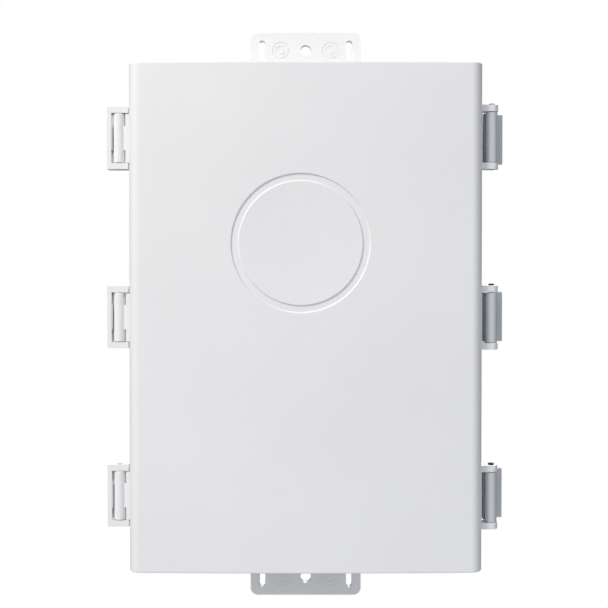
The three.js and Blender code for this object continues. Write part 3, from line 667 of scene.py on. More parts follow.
def coverSkin():
    form = coverForm
    flatHalf = coverHalfWidth - form["sideRadius"]
    columns = faceStops(flatHalf, roundel["x"])
    section = traySection(coverHalfWidth, coverFrontY, form["sideRadius"], form["crown"], columns,
                          coverMesh["turns"])
    edge = form["edge"]
    turns = [math.pi / 2 * k / coverMesh["edgeTurns"] for k in range(coverMesh["edgeTurns"])]
    support = form["support"]
    ends = [(-coverHalfHeight, edge + support)]
    ends += [(-coverHalfHeight + edge * (1 - math.cos(a)), edge * (1 - math.sin(a))) for a in turns]
    ends.append((-coverHalfHeight + edge, 0.0))
    rows = ends + [(z, 0.0) for z in faceStops(coverHalfHeight - edge - support, roundel["z"])]
    rows += [(-z, d) for z, d in reversed(ends)]
    bm = bmesh.new()
    grid = []
    for z, shrink in rows:
        line = []
        for x, y, nx, ny in section:
            press = reliefDepth(x, z) if ny == -1 and nx == 0 else 0
            line.append(bm.verts.new((x - nx * shrink, y - ny * shrink + press, z)))
        grid.append(line)
    reach = roundel["patch"] + hair
    inX = [i for i, s in enumerate(section) if s[3] == -1 and abs(s[0] - roundel["x"]) <= reach]
    inZ = [j for j, r in enumerate(rows) if abs(r[0] - roundel["z"]) <= reach]
    for j in range(len(rows) - 1):
        for i in range(len(section) - 1):
            if inX[0] <= i < inX[-1] and inZ[0] <= j < inZ[-1]:
                continue
            bm.faces.new((grid[j][i], grid[j][i + 1], grid[j + 1][i + 1], grid[j + 1][i]))
    fillPatch(bm, grid, inX, inZ)
    for i in inX[1:-1]:
        for j in inZ[1:-1]:
            bm.verts.remove(grid[j][i])
    bm.faces.new(grid[0])
    bm.faces.new(list(reversed(grid[-1])))
    bm.faces.new([line[0] for line in grid] + [line[-1] for line in reversed(grid)])
    bmesh.ops.recalc_face_normals(bm, faces=bm.faces)
    return meshObject("coverShell", bm)


def fillPatch(bm, grid, inX, inZ):
    # rings of faces from the patch's square edge in to the roundel's middle
    left, right, low, high = inX[0], inX[-1], inZ[0], inZ[-1]
    border = [grid[low][i] for i in range(left, right)] + [grid[j][right] for j in range(low, high)]
    border += [grid[high][i] for i in range(right, left, -1)]
    border += [grid[j][left] for j in range(high, low, -1)]
    outer, inner, slope = roundel["radius"], roundel["radius"] - roundel["ring"], roundel["slope"]
    lead, slopeSteps, dishSteps = roundel["lead"], roundel["slopeSteps"], roundel["dishSteps"]
    radii = [outer + roundel["margin"], outer + lead]
    radii += [outer - slope * k / slopeSteps for k in range(slopeSteps + 1)]
    radii += [outer - slope - lead, (outer + inner) / 2, inner + slope + lead]
    radii += [inner + slope * k / slopeSteps for k in range(slopeSteps, -1, -1)]
    radii += [inner - roundel["dishLead"]] + [inner * k / dishSteps for k in range(dishSteps - 1, 0, -1)]
    flatHalf = coverHalfWidth - coverForm["sideRadius"]
    angles = [math.atan2(v.co.z - roundel["z"], v.co.x - roundel["x"]) for v in border]

    def onFace(radius, angle):
        x = roundel["x"] + radius * math.cos(angle)
        z = roundel["z"] + radius * math.sin(angle)
        y = coverFrontY + coverForm["crown"] * (x / flatHalf) ** 2
        return (x, y + reliefDepth(x, z), z)

    rings = [border] + [[bm.verts.new(onFace(radius, a)) for a in angles] for radius in radii]
    rings.append([bm.verts.new(onFace(0, 0))])
    for outerRing, innerRing in zip(rings, rings[1:]):
        bridge(bm, outerRing, innerRing)


def coverHollow():
    form = coverForm
    half = coverHalfWidth - form["wall"]
    radius = form["sideRadius"] - form["wall"]
    flatHalf = half - form["ledge"] - radius
    stops = spread(-flatHalf, flatHalf, coverMesh["hollow"]) + [flatHalf]
    faceY = coverFrontY + form["wall"]
    section = traySection(half - form["ledge"], faceY, radius, form["crown"], stops,
                          coverMesh["hollowTurns"])
    outline = [(x, y) for x, y, nx, ny in section]
    outline = [(outline[0][0], partingY + over)] + outline + [(outline[-1][0], partingY + over)]
    hollowHalf = coverHalfHeight - form["wall"] - form["ledge"]
    return extruded(outline, -hollowHalf, hollowHalf)


def coverLedge():
    half = coverHalfWidth - coverForm["wall"]
    endHalf = coverHalfHeight - coverForm["wall"]
    return boxed((-half, gasketLow.y - 0.1 * mm, -endHalf), (half, partingY + over, endHalf))


coverShell = carve(carve(coverSkin(), coverHollow()), coverLedge())
finished(coverShell, "white", "cover", "white_plastic", "front_cover")
print("stage: cover made", len(coverShell.data.polygons))

# the finish of each CAD node by its material slot
slotFinish = {"white_plastic": "white", "grey_plastic": "grey", "black_plastic": "black",
              "black_rubber": "rubber", "steel": "steel", "black_steel": "oxide",
              "aluminium": "aluminium", "tin_plate": "tin", "brass": "brass",
              "patch_laminate": "laminate", "board_green": "mask", "nylon": "nylon"}
nodeSlot = {entry["node"]: entry["material_slot"] for entry in frame["record"]["subparts"]}
for node, obj in frame["nodes"].items():
    obj.data.materials.clear()
    obj.data.materials.append(finishes[slotFinish[nodeSlot[node]]])


# hinge knuckles and latch ears on the cover
fittings = {"barrel": 3.6 * mm, "barrelHalf": 15 * mm, "armHalf": 7.5 * mm, "armStart": 2.2 * mm,
            "leafGap": 0.5 * mm, "leafFront": 2.6 * mm, "leafBack": 0.2 * mm, "leafEdge": 0.25 * mm,
            "bore": 1.6 * mm, "root": 1.2 * mm, "ear": 4 * mm, "earOuter": 19.5 * mm,
            "earInner": 15.5 * mm, "web": 0.5 * mm, "webInset": 0.3 * mm, "edge": 0.35 * mm}
stations = ["top", "middle", "bottom"]


def headedAxis(node):
    # the axis of a pin whose head is its widest part
    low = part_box(node)[0]
    return low.x + pins["headRadius"], low.y + pins["headRadius"]


def knucklesAndEars():
    f = fittings
    bm = bmesh.new()
    for station in stations:
        pin = axisOf("hinge_pin_" + station)
        rootX = -(coverHalfWidth - f["root"])
        half, c = f["barrelHalf"], f["edge"]
        profile = [(f["bore"], -half), (f["barrel"] - c, -half), (f["barrel"], -half + c)]
        profile += [(f["barrel"], half - c), (f["barrel"] - c, half), (f["bore"], half)]
        addLathe(bm, profile, Matrix.Translation(pin))
        front, back = pin.y - f["leafFront"], pin.y - f["leafBack"]
        leafX = pin.x + f["barrel"] + f["leafGap"]
        addBox(bm, (leafX, front, pin.z - half), (rootX, back, pin.z + half), f["leafEdge"])
        arm = f["armHalf"]
        armLow = (pin.x + f["armStart"], front + 0.35 * mm, pin.z - arm)
        addBox(bm, armLow, (leafX + 1 * mm, back - 0.15 * mm, pin.z + arm), 0.15 * mm)
    for station in stations:
        pin = axisOf("latch_lever_" + station)
        axis = Vector(headedAxis("latch_pin_" + station))
        rootX = coverHalfWidth - f["root"]
        for low, high in ((f["earInner"], f["earOuter"]), (-f["earOuter"], -f["earInner"])):
            part = bmesh.new()
            outline = [(rootX, axis.y - f["ear"])] + arc(axis, f["ear"], -90, 90, 20)
            outline.append((rootX, axis.y + f["ear"]))
            addPrism(part, outline, pin.z + low, pin.z + high)
            sharp = [e for e in part.edges if e.is_manifold and e.calc_face_angle() > 0.7]
            bmesh.ops.bevel(part, geom=sharp, offset=f["edge"], segments=3, profile=0.5, affect="EDGES")
            absorb(bm, part)
        web = coverHalfWidth + f["web"]
        reachY, reachZ = f["ear"] - f["webInset"], f["earInner"] + over
        low = (rootX, axis.y - reachY, pin.z - reachZ)
        addBox(bm, low, (web, axis.y + reachY, pin.z + reachZ), 0.2 * mm)
    return meshObject("coverFittings", bm)


finished(knucklesAndEars(), "white", "cover", "white_plastic", "front_cover")

# rear housing: a deep tray with bosses, a cable alcove and catch ribs
housing = {"floor": 3 * mm, "backRadius": 6 * mm, "edge": 1.2 * mm, "innerCorner": 2.5 * mm,
           "tongueInset": 1.4 * mm, "tongueEdge": 0.4 * mm, "ribHeight": 2.2 * mm,
           "ribWidth": 1.4 * mm, "tallRibs": 8, "wideRibs": 4}
housingHalf = -housingLow.x
housingHalfHeight = housingHigh.z
housingBackY = housingHigh.y
housingFloorY = housingBackY - housing["floor"]
tongueY = housingLow.y
tongueHalf = gasketHigh.x
tongueHalfHeight = gasketHigh.z
cavityHalf = tongueHalf - housing["tongueInset"]
cavityHalfHeight = tongueHalfHeight - housing["tongueInset"]


def bodySection(half, backY, radius):
    # the plan outline of the tray's outside, seen from above
    rim = partingY
    right = arc((half - radius, backY - radius), radius, 0, 90, 10)
    left = arc((-half + radius, backY - radius), radius, 90, 180, 10)
    return [(half, rim)] + right + left + [(-half, rim)]


def housingShell():
    h = housing
    edge = h["edge"]
    bm = bmesh.new()
    turns = [math.pi / 2 * k / 4 for k in range(5)]
    rows = [(edge * (1 - math.cos(a)), edge * (1 - math.sin(a))) for a in turns]
    levels = [(-housingHalfHeight + z, shrink) for z, shrink in rows]
    levels += [(housingHalfHeight - z, shrink) for z, shrink in reversed(rows)]
    loops = []
    for z, shrink in levels:
        section = bodySection(housingHalf - shrink, housingBackY - shrink, h["backRadius"] - shrink)
        loops.append([bm.verts.new((x, y, z)) for x, y in section])
    for lower, upper in zip(loops, loops[1:]):
        bridge(bm, lower, upper)
    bm.faces.new(loops[0])
    bm.faces.new(loops[-1])
    bmesh.ops.recalc_face_normals(bm, faces=bm.faces)
    obj = meshObject("housingShell", bm)
    tongueLow = (-tongueHalf, tongueY, -tongueHalfHeight)
    tongueHigh = (tongueHalf, partingY + 2 * over, tongueHalfHeight)
    carve(obj, boxed(tongueLow, tongueHigh, h["tongueEdge"]), "UNION")
    outline = roundedBox(-cavityHalf, -cavityHalfHeight, cavityHalf, cavityHalfHeight, h["innerCorner"])
    return carve(obj, extruded(outline, tongueY - over, housingFloorY, "XZ"))


alcove = {"wall": 3 * mm, "left": -80 * mm, "right": 80 * mm, "corner": 3 * mm, "half": 10.7 * mm,
          "hang": 12 * mm, "seat": 0.1 * mm, "edge": 0.8 * mm, "inset": 1.5 * mm}
glandMiddle = axisOf("gland_body")
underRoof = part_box("gland_body")[0].z + alcove["hang"]
roofZ = underRoof + alcove["seat"]
alcoveFront = glandMiddle.y - alcove["half"]
alcoveBack = glandMiddle.y + alcove["half"]
entries = {"gland_body": 8.0 * mm, "entry_plug": 8.0 * mm, "pressure_vent": 6.0 * mm,
           "earth_bolt": 2.6 * mm}


def withAlcove(obj):
    a = alcove
    low = (a["left"] - a["wall"], partingY, -housingHalfHeight + a["inset"])
    high = (a["right"] + a["wall"], housingFloorY + over, roofZ + a["wall"])
    carve(obj, boxed(low, high, a["edge"]), "UNION")
    below = -housingHalfHeight - 2 * over
    outline = filleted([(a["left"], below), (a["right"], below), (a["right"], roofZ, a["corner"]),
                        (a["left"], roofZ, a["corner"])])
    carve(obj, extruded(outline, alcoveFront, alcoveBack, "XZ"))
    holes = bmesh.new()
    for node, radius in entries.items():
        place = Matrix.Translation((axisOf(node).x, glandMiddle.y, roofZ))
        addLathe(holes, drum(radius, -over, a["wall"] + over), place)
    return carve(obj, holes)


bosses = {"radius": 4 * mm, "sideRadius": 3.6 * mm, "sideLength": 5 * mm, "flare": 1.2 * mm,
          "antennaBore": 1.6 * mm, "boardBore": 1.5 * mm, "sideBore": 0.4 * mm, "sink": 0.5 * mm,
          "bevel": 0.4 * mm, "sheet": 1.5 * mm}
catch = {"front": 2.4 * mm, "tip": 4.2 * mm, "back": 5 * mm, "lowered": 0.6 * mm}
stack = {"antenna": ["antenna_screw_%d" % k for k in range(1, 5)],
         "board": ["board_screw_%d" % k for k in range(1, 5)]}
plateScrews = ["plate_screw_%d" % k for k in range(1, 5)]
hingeScrews = ["hinge_screw_%s_%d" % (s, k) for s in stations for k in (1, 2)]


def bossProfile(radius, height, bore):
    # a boss with a flared foot, a chamfered tip and a blind bore
    flare = bosses["flare"]
    sink, bevel = bosses["sink"], bosses["bevel"]
    foot = [(radius + flare, -sink), (radius + flare * 0.35, flare * 0.45), (radius, flare * 1.3)]
    tip = [(radius, height - bevel), (radius - bevel, height), (bore + 0.3 * mm, height)]
    return foot + tip + [(bore, height - 0.3 * mm), (bore, height * 0.3), (0, height * 0.3), (0, -sink)]


def housingBosses():
    bm = bmesh.new()
    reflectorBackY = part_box("antenna_reflector")[0].y + bosses["sheet"]
    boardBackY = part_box("radio_board")[1].y
    for names, tipY, bore in ((stack["antenna"], reflectorBackY, bosses["antennaBore"]),
                              (stack["board"], boardBackY, bosses["boardBore"])):
        for name in names:
            spot = axisOf(name)
            height = housingFloorY - tipY - 0.1 * mm
            place = turnTo((0, -1, 0), (spot.x, housingFloorY, spot.z))
            addLathe(bm, bossProfile(bosses["radius"], height, bore), place, 40)
    for name in hingeScrews:
        spot = axisOf(name)
        place = turnTo((1, 0, 0), (-cavityHalf - 0.4 * mm, spot.y, spot.z))
        profile = bossProfile(bosses["sideRadius"], bosses["sideLength"] + 0.3 * mm, bosses["sideBore"])
        addLathe(bm, profile, place, 32)
    for station in stations:
        z = axisOf("latch_pin_" + station).z - catch["lowered"]
        front = partingY + catch["front"]
        rib = filleted([(housingHalf - over, front), (housingHigh.x, front, 0.8 * mm),
                        (housingHigh.x, partingY + catch["tip"], 0.7 * mm),
                        (housingHalf - over, partingY + catch["back"])])
        addPrism(bm, rib, z - fittings["earOuter"], z + fittings["earOuter"])
    return meshObject("housingBosses", bm)


def housingRibs():
    h = housing
    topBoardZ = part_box("radio_board")[1].z
    depth = h["ribHeight"]
    start = (-cavityHalf + 12 * mm, housingFloorY - depth / 2, (topBoardZ + cavityHalfHeight) / 2)
    across, upward = h["tallRibs"], h["wideRibs"]
    tall = {"Count": across, "Start": start, "Step": ((2 * cavityHalf - 24 * mm) / (across - 1), 0, 0),
            "Size": (h["ribWidth"], depth, cavityHalfHeight - topBoardZ - 16 * mm)}
    step = (cavityHalfHeight - topBoardZ - 20 * mm) / (upward - 1)
    wide = {"Count": upward, "Start": (0, start[1], topBoardZ + 10 * mm), "Step": (0, 0, step),
            "Size": (2 * cavityHalf - 20 * mm, depth, h["ribWidth"])}
    return [grown("ribs", "row", values, "white") for values in (tall, wide)]


shell = withAlcove(housingShell())
shell = soften(shell, 0.3 * mm, 2, 50)
pieces = [dress(shell, finishes["white"]), dress(housingBosses(), finishes["white"])] + housingRibs()
rearHousing = joined("rearHousing", pieces)
ridesOn(rearHousing, "base", ["rear_housing"])
print("stage: housing made", len(rearHousing.data.polygons))

# mounting plate: rounded tabs, holes with softened rims, pockets behind and moulding marks
plateForm = {"corner": 4.7 * mm, "hole": 3.55 * mm, "holeInset": 11.3 * mm, "slotX": 28 * mm,
             "slotWidth": 3.7 * mm, "slotLength": 15 * mm, "slotInset": 4.8 * mm, "markX": 16 * mm,
             "markRadius": 4.8 * mm,
             "innerMark": 2.4 * mm, "markWidth": 0.6 * mm, "markDepth": 0.25 * mm, "edge": 0.45 * mm,
             "pocketWidth": 13 * mm, "pocketDepth": 2 * mm, "pocketCorner": 1.5 * mm, "rows": 6,
             "rib": 6 * mm, "boreRadius": 4 * mm, "boreDepth": 3 * mm, "shankBore": 2.1 * mm,
             "through": 6 * mm}
plateLow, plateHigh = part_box("mounting_plate")


def stadium(x, z, width, length):
    reach = (length - width) / 2
    return arc((x, z + reach), width / 2, 0, 180, 16) + arc((x, z - reach), width / 2, 180, 360, 16)


def ringGroove(bm, x, z, radius, width, depth, faceY):
    profile = [(radius, -depth), (radius + width, -depth), (radius + width, over), (radius, over)]
    addLathe(bm, profile, turnTo((0, -1, 0), (x, faceY, z)), 40)


def mountingPlate():
    p = plateForm
    half, top, c = plateHigh.x, plateHigh.z, p["corner"]
    outline = arc((half - c, top - c), c, 0, 90, 12) + arc((-half + c, top - c), c, 90, 180, 12)
    outline += arc((-half + c, -top + c), c, 180, 270, 12) + arc((half - c, -top + c), c, 270, 360, 12)
    obj = meshObject("mountingPlate", extruded(outline, plateLow.y, plateHigh.y, "XZ"))
    through = bmesh.new()
    for end in (-1, 1):
        ring = arc((0, end * (top - p["holeInset"])), p["hole"], 0, 360, 40)[:-1]
        addPrism(through, ring, plateLow.y - over, over, "XZ")
        slotZ = end * (top - p["slotInset"] - p["slotLength"] / 2)
        for x in (-p["slotX"], p["slotX"]):
            slot = stadium(x, slotZ, p["slotWidth"], p["slotLength"])
            addPrism(through, slot, plateLow.y - over, over, "XZ")
    carve(obj, through)
    pitch = (2 * coverHalfHeight - p["rib"]) / p["rows"]
    pockets = bmesh.new()
    for row in range(p["rows"]):
        low = -coverHalfHeight + p["rib"] + row * pitch
        high = low + pitch - p["rib"]
        for left in (p["rib"] / 2, -p["rib"] / 2 - p["pocketWidth"]):
            right = left + p["pocketWidth"]
            corners = roundedBox(left, low, right, high, p["pocketCorner"])
            addPrism(pockets, corners, -p["pocketDepth"], over, "XZ")
    carve(obj, pockets)
    bores = bmesh.new()
    for node in plateScrews:
        spot = axisOf(node)
        profile = [(0, p["through"]), (p["shankBore"], p["through"]), (p["shankBore"], p["boreDepth"]),
                   (p["boreRadius"], p["boreDepth"]), (p["boreRadius"], -over), (0, -over)]
        addLathe(bores, profile, turnTo((0, -1, 0), (spot.x, 0, spot.z)), 40)
    carve(obj, bores)
    soften(obj, p["edge"], 3, 50)
    marks = bmesh.new()
    for end in (-1, 1):
        for side in (-1, 1):
            z = end * (top - p["holeInset"])
            for radius in (p["markRadius"], p["innerMark"]):
                ringGroove(marks, side * p["markX"], z, radius, p["markWidth"], p["markDepth"], plateLow.y)
    return carve(obj, marks)


plate = finished(mountingPlate(), "white", "base", "white_plastic", "mounting_plate")
print("stage: plate made", len(plate.data.polygons))

# hinge frames, levers, pins
framePad = {"bar": 2.6 * mm, "proud": 0.65 * mm, "half": 7.5 * mm, "front": 0.5 * mm, "depth": 7 * mm,
            "sink": 0.5 * mm, "edge": 0.35 * mm, "padEdge": 0.15 * mm}


def hingeFrame(station):
    # the frame with a pad on its outer bar that guides the barrel's middle
    node = "hinge_frame_" + station
    low, high, middle = spanOf(node)
    form = framePad
    padLow = (low.x + form["bar"] - form["sink"], low.y + form["front"], middle.z - form["half"])
    padHigh = (low.x + form["bar"] + form["proud"], low.y + form["depth"], middle.z + form["half"])
    frameBody = dress(refined("frame", node, form["edge"], 3), finishes["white"])
    pad = inFinish(boxed(padLow, padHigh, form["padEdge"]), "white")
    return joined("hingeFrame_" + station, [frameBody, pad])


for station in stations:
    ridesOn(hingeFrame(station), "base", ["hinge_frame_" + station])

lever = {"hub": 3.5 * mm, "setback": 4 * mm, "arm": 2.8 * mm, "reach": 17.5 * mm, "lipRise": 9.5 * mm,
         "lipReach": 8.7 * mm, "lip": 2.4 * mm, "bore": 1.6 * mm, "halfLength": 15.2 * mm,
         "edge": 0.35 * mm}


def latchLever(station):
    form = lever
    low, high, middle = spanOf("latch_lever_" + station)
    cx, cy = headedAxis("latch_pin_" + station)
    inner = cx - form["setback"]
    outer = inner + form["arm"]
    lipY = cy + form["lipRise"]
    lipX = cx + form["lipReach"]
    tip = cy + form["reach"]
    hub = form["hub"]
    start = math.degrees(math.acos((outer - cx) / hub))
    outline = arc((cx, cy), hub, start, -180, 36)
    outline += filleted([(inner, cy + 1.6 * mm, 0.5 * mm), (inner, tip, 0.5 * mm), (outer, tip, 1.2 * mm),
                         (outer, lipY + 1 * mm, 1.5 * mm), (lipX - 4 * mm, lipY + form["lip"], 1.5 * mm),
                         (lipX, lipY + form["lip"], 0.7 * mm), (lipX, lipY, 0.9 * mm),
                         (lipX - 3 * mm, lipY, 3 * mm), (outer, lipY - form["lip"], 3 * mm)])
    obj = meshObject("latchLever_" + station, extruded(outline, low.z, high.z))
    reach = form["halfLength"] + over
    carve(obj, lathed(drum(form["bore"], -reach, reach), Matrix.Translation((cx, cy, middle.z))))
    return soften(obj, form["edge"], 3, 50)


def pin(name, node, headed):
    low, high, middle = spanOf(node)
    if headed:
        middle = Vector(headedAxis(node))
    radius, headRadius, c = pins["radius"], pins["headRadius"], pins["chamfer"]
    profile = [(0, low.z), (radius - c, low.z), (radius, low.z + c)]
    if headed:
        under = high.z - pins["headHeight"]
        rise = under + pins["headHeight"] * pins["straight"]
        dome = pins["headHeight"] * pins["dome"]
        profile += [(radius, under), (headRadius, under), (headRadius, rise)]
        turns = [math.radians(90 * k / 5) for k in range(1, 5)]
        profile += [(headRadius * math.cos(a), rise + dome * math.sin(a)) for a in turns]
        profile.append((0, high.z))
    else:
        profile += [(radius, high.z - c), (radius - c, high.z), (0, high.z)]
    return meshObject(name, lathed(profile, Matrix.Translation((middle.x, middle.y, 0)), 32))


for station in stations:
    leverNode, hingeNode, latchNode = [
        kind + station for kind in ("latch_lever_", "hinge_pin_", "latch_pin_")]
    # the white levers take the darkened moulding as painted shade
    finished(latchLever(station), "leverShadedWhite", "latch_" + station, "white_plastic", leverNode)
    finished(pin("hingePin_" + station, hingeNode, False), "steel", "base", "steel", hingeNode)
    finished(pin("latchPin_" + station, latchNode, True), "oxide", "cover", "black_steel", latchNode)
print("stage: hinges and latches made")

# screws
# millimetres: head radius, head height, shank radius, length
screwSets = {
    "hingeScrews": {"nodes": hingeScrews, "size": (2.8, 1.8, 1.5, 9), "axis": "x"},
    "plateScrews": {"nodes": plateScrews, "size": (3.6, 2.3, 2, 11), "axis": "y"},
    "boardScrews": {"nodes": stack["board"], "size": (2.7, 1.7, 1.4, 6), "axis": "-y"},
    "antennaScrews": {"nodes": stack["antenna"], "size": (2.8, 1.8, 1.5, 14), "axis": "-y"},
}
screwTurns = {"x": (0, -math.pi / 2, 0), "y": (-math.pi / 2, 0, 0), "-y": (math.pi / 2, 0, 0)}
for name, form in screwSets.items():
    head, height, shank, length = [value * mm for value in form["size"]]
    seats = []
    for node in form["nodes"]:
        low, high, middle = spanOf(node)
        if form["axis"] == "x":
            seats.append((low.x + height, middle.y, middle.z))
        elif form["axis"] == "y":
            seats.append((middle.x, high.y - height, middle.z))
        else:
            seats.append((middle.x, low.y + height, middle.z))
    values = {"Head Radius": head, "Head Height": height, "Shank Radius": shank, "Length": length,
              "Turn": screwTurns[form["axis"]]}
    ridesOn(grown(name, "screws", values, "steel", places(seats)), "base", form["nodes"])
print("stage: screws made")

# panel antenna: patch board, reflector and spacers
antenna = {"columns": 4, "rows": 4, "patch": 26 * mm, "corner": 1.5 * mm, "copper": 0.12 * mm,
           "line": 1.5 * mm, "lineCopper": 0.07 * mm, "lineStep": 0.01 * mm, "marginX": 27 * mm,
           "marginZ": 26 * mm}
boardLow, boardHigh, boardMiddle = spanOf("antenna_board")
spanX = boardHigh.x - boardLow.x - 2 * antenna["marginX"]
spanZ = boardHigh.z - boardLow.z - 2 * antenna["marginZ"]
for name, node, slotName, finish, width in (
        ("antennaBoard", "antenna_board", "patch_laminate", "laminate", 0.25 * mm),
        ("antennaReflector", "antenna_reflector", "aluminium", "aluminium", 0.3 * mm),
        ("heatSpreader", "heat_spreader", "aluminium", "aluminium", 0.3 * mm)):
    finished(refined(name, node, width), finish, "base", slotName, node)


def feedLines():
    # an H-shaped tree of copper lines that splits down to each patch
    a = antenna
    bm = bmesh.new()
    half = a["line"] / 2
    pitchX, pitchZ = spanX / (a["columns"] - 1), spanZ / (a["rows"] - 1)

    def strip(x0, z0, x1, z1, layer):
        # crossing lines differ in thickness, so that no two faces lie in one plane
        front = boardLow.y - a["lineCopper"] + layer * a["lineStep"]
        low = (min(x0, x1) - half, front, min(z0, z1) - half)
        addBox(bm, low, (max(x0, x1) + half, boardLow.y, max(z0, z1) + half))

    def branch(x, z, dx, dz, depth):
        strip(x - dx, z, x + dx, z, 2 * depth)
        for side in (-1, 1):
            strip(x + side * dx, z - dz, x + side * dx, z + dz, 2 * depth + 1)
            for end in (-1, 1):
                if depth:
                    branch(x + side * dx, z + end * dz, dx / 2, dz / 2, depth - 1)

    branch(boardMiddle.x, boardMiddle.z, pitchX, pitchZ, 1)
    return meshObject("feedLines", bm)


patchValues = {"Columns": antenna["columns"], "Rows": antenna["rows"], "Span": (spanX, 0, spanZ),
               "Centre": (boardMiddle.x, boardLow.y, boardMiddle.z), "Side": antenna["patch"],
               "Corner": antenna["corner"], "Thickness": antenna["copper"]}
patches = grown("patches", "patches", patchValues, "copper")
copperWork = joined("antennaPatches", [patches, dress(feedLines(), finishes["copper"])])
ridesOn(copperWork, "base")


spacerForm = {"bevel": 0.4 * mm, "bore": 1.6 * mm}
# shares of the plug's radius and length, from the board up
plugSteps = [(0, 0), (1, 0), (1, 0.45), (0.8, 0.5), (0.8, 0.62), (1, 0.68), (1, 0.92), (0.85, 1), (0, 1)]


def spacer(name, node):
    low, high, middle = spanOf(node)
    radius, c, bore = (high.x - low.x) / 2, spacerForm["bevel"], spacerForm["bore"]
    length = high.y - low.y
    profile = [(bore, 0), (radius - c, 0), (radius, c), (radius, length - c), (radius - c, length),
               (bore, length)]
    return meshObject(name, lathed(profile, turnTo((0, 1, 0), (middle.x, low.y, middle.z)), 32))


for k in range(1, 5):
    node = "antenna_spacer_%d" % k
    finished(spacer("antennaSpacer_%d" % k, node), "nylon", "base", "nylon", node)
for side in ("left", "right"):
    lead = refined("antennaLead_" + side, "antenna_lead_" + side, 0.05 * mm, 1)
    ridesOn(dress(lead, finishes["rubber"], 60), "base", ["antenna_lead_" + side])
    node = "coax_plug_" + side
    low, high, middle = spanOf(node)
    radius, length = (high.x - low.x) / 2, high.y - low.y
    profile = [(radius * r, length * t) for r, t in plugSteps]
    plug = lathed(profile, turnTo((0, -1, 0), (middle.x, high.y, middle.z)), 32)
    finished(meshObject("coaxPlug_" + side, plug), "brass", "base", "brass", node)
print("stage: antenna made")

# radio board and its parts
radio = {"seed": 21, "chips": 150, "tries": 3000, "border": 4 * mm, "gap": 1.1 * mm, "small": 3 * mm}
# millimetres: width, height, depth; then how often each kind is drawn
chipKinds = [(1.6, 0.8, 0.6), (1.0, 0.5, 0.45), (0.8, 1.6, 0.6), (2.4, 1.4, 1.0), (4.0, 4.0, 0.9),
             (6.0, 5.0, 1.2)]
chipShares = (30, 30, 24, 8, 5, 3)
radioLow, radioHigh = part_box("radio_board")
onBoard = ["shield_can", "ethernet_jack", "poe_transformer", "surge_arrester", "reset_switch",
           "coax_plug_left", "coax_plug_right"] + stack["board"]


def freeSpots():
    # random places on the board that keep clear of its large parts and of each other
    draw = random.Random(radio["seed"])
    border = radio["border"]
    taken = [tuple(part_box(node)) for node in onBoard]
    spots = []
    for attempt in range(radio["tries"]):
        kind = chipKinds[draw.choices(range(len(chipKinds)), chipShares)[0]]
        width, height, depth = [value * mm for value in kind]
        x = draw.uniform(radioLow.x + border + width / 2, radioHigh.x - border - width / 2)
        z = draw.uniform(radioLow.z + border + height / 2, radioHigh.z - border - height / 2)
        x, z = round(x, 4), round(z, 4)  # to a tenth of a millimetre
        reachX, reachZ = width / 2 + radio["gap"], height / 2 + radio["gap"]
        if any(l.x - reachX < x < h.x + reachX and l.z - reachZ < z < h.z + reachZ for l, h in taken):
            continue
        taken.append((Vector((x - width / 2, 0, z - height / 2)),
                      Vector((x + width / 2, 0, z + height / 2))))
        spots.append((x, z, width, height, depth))
        if len(spots) == radio["chips"]:
            break
    return spots


def chipSet(name, spots, finish, grow=(1, 1, 1)):
    bm = places([(x, radioLow.y - depth * grow[1] / 2, z) for x, z, width, height, depth in spots])
    obj = meshObject("places", bm)
    sizes = obj.data.attributes.new("size", "FLOAT_VECTOR", "POINT")
    for k, (x, z, width, height, depth) in enumerate(spots):
        sizes.data[k].vector = (width * grow[0], depth * grow[1], height * grow[2])
    growOn(obj, trees["chips"], {"Finish": finishes[finish]})
    obj.name = name
    return dress(obj, finishes[finish])


spots = freeSpots()
small = [s for s in spots if max(s[2], s[3]) < radio["small"]]
large = [s for s in spots if max(s[2], s[3]) >= radio["small"]]
finished(refined("radioBoard", "radio_board", 0.2 * mm), "mask", "base", "board_green", "radio_board")
ends = chipSet("chipEnds", small, "tin", (1.12, 0.96, 1.0))
bodies = chipSet("chipBodies", small, "nylon", (0.72, 1.04, 1.02))
cases = chipSet("chipCases", large, "black")
legs = chipSet("chipLegs", large, "tin", (1.24, 0.25, 0.86))
ridesOn(joined("boardParts", [ends, bodies, cases, legs]), "base")


canForm = {"edge": 0.7 * mm, "ventPitch": 5 * mm, "ventRadius": 0.8 * mm, "ventDepth": 0.8 * mm,
           "border": 12 * mm, "seam": 2 * mm, "seamWidth": 0.25 * mm, "seamDepth": 0.2 * mm}


def shieldCan():
    form = canForm
    low, high, middle = spanOf("shield_can")
    obj = meshObject("shieldCan", boxed(low, high, form["edge"], 3))
    vents = bmesh.new()
    across = int((high.x - low.x - form["border"]) / form["ventPitch"])
    upward = int((high.z - low.z - form["border"]) / form["ventPitch"])
    profile = drum(form["ventRadius"], -form["ventDepth"], over)
    for i in range(across + 1):
        for j in range(upward + 1):
            x = middle.x + (i - across / 2) * form["ventPitch"]
            z = middle.z + (j - upward / 2) * form["ventPitch"]
            addLathe(vents, profile, turnTo((0, -1, 0), (x, low.y, z)), 16)
    carve(obj, vents)
    # the lid's seam: a thin slice round the can, less the can's inside
    seamLow = (low.x - over, low.y + form["seam"], low.z - over)
    seamHigh = (high.x + over, low.y + form["seam"] + form["seamWidth"], high.z + over)
    inset = Vector((form["seamDepth"], -over, form["seamDepth"]))
    band = carve(meshObject("band", boxed(seamLow, seamHigh)), boxed(low + inset, high - inset))
    cutter = bmesh.new()
    cutter.from_mesh(band.data)
    bpy.data.objects.remove(band)
    return carve(obj, cutter)


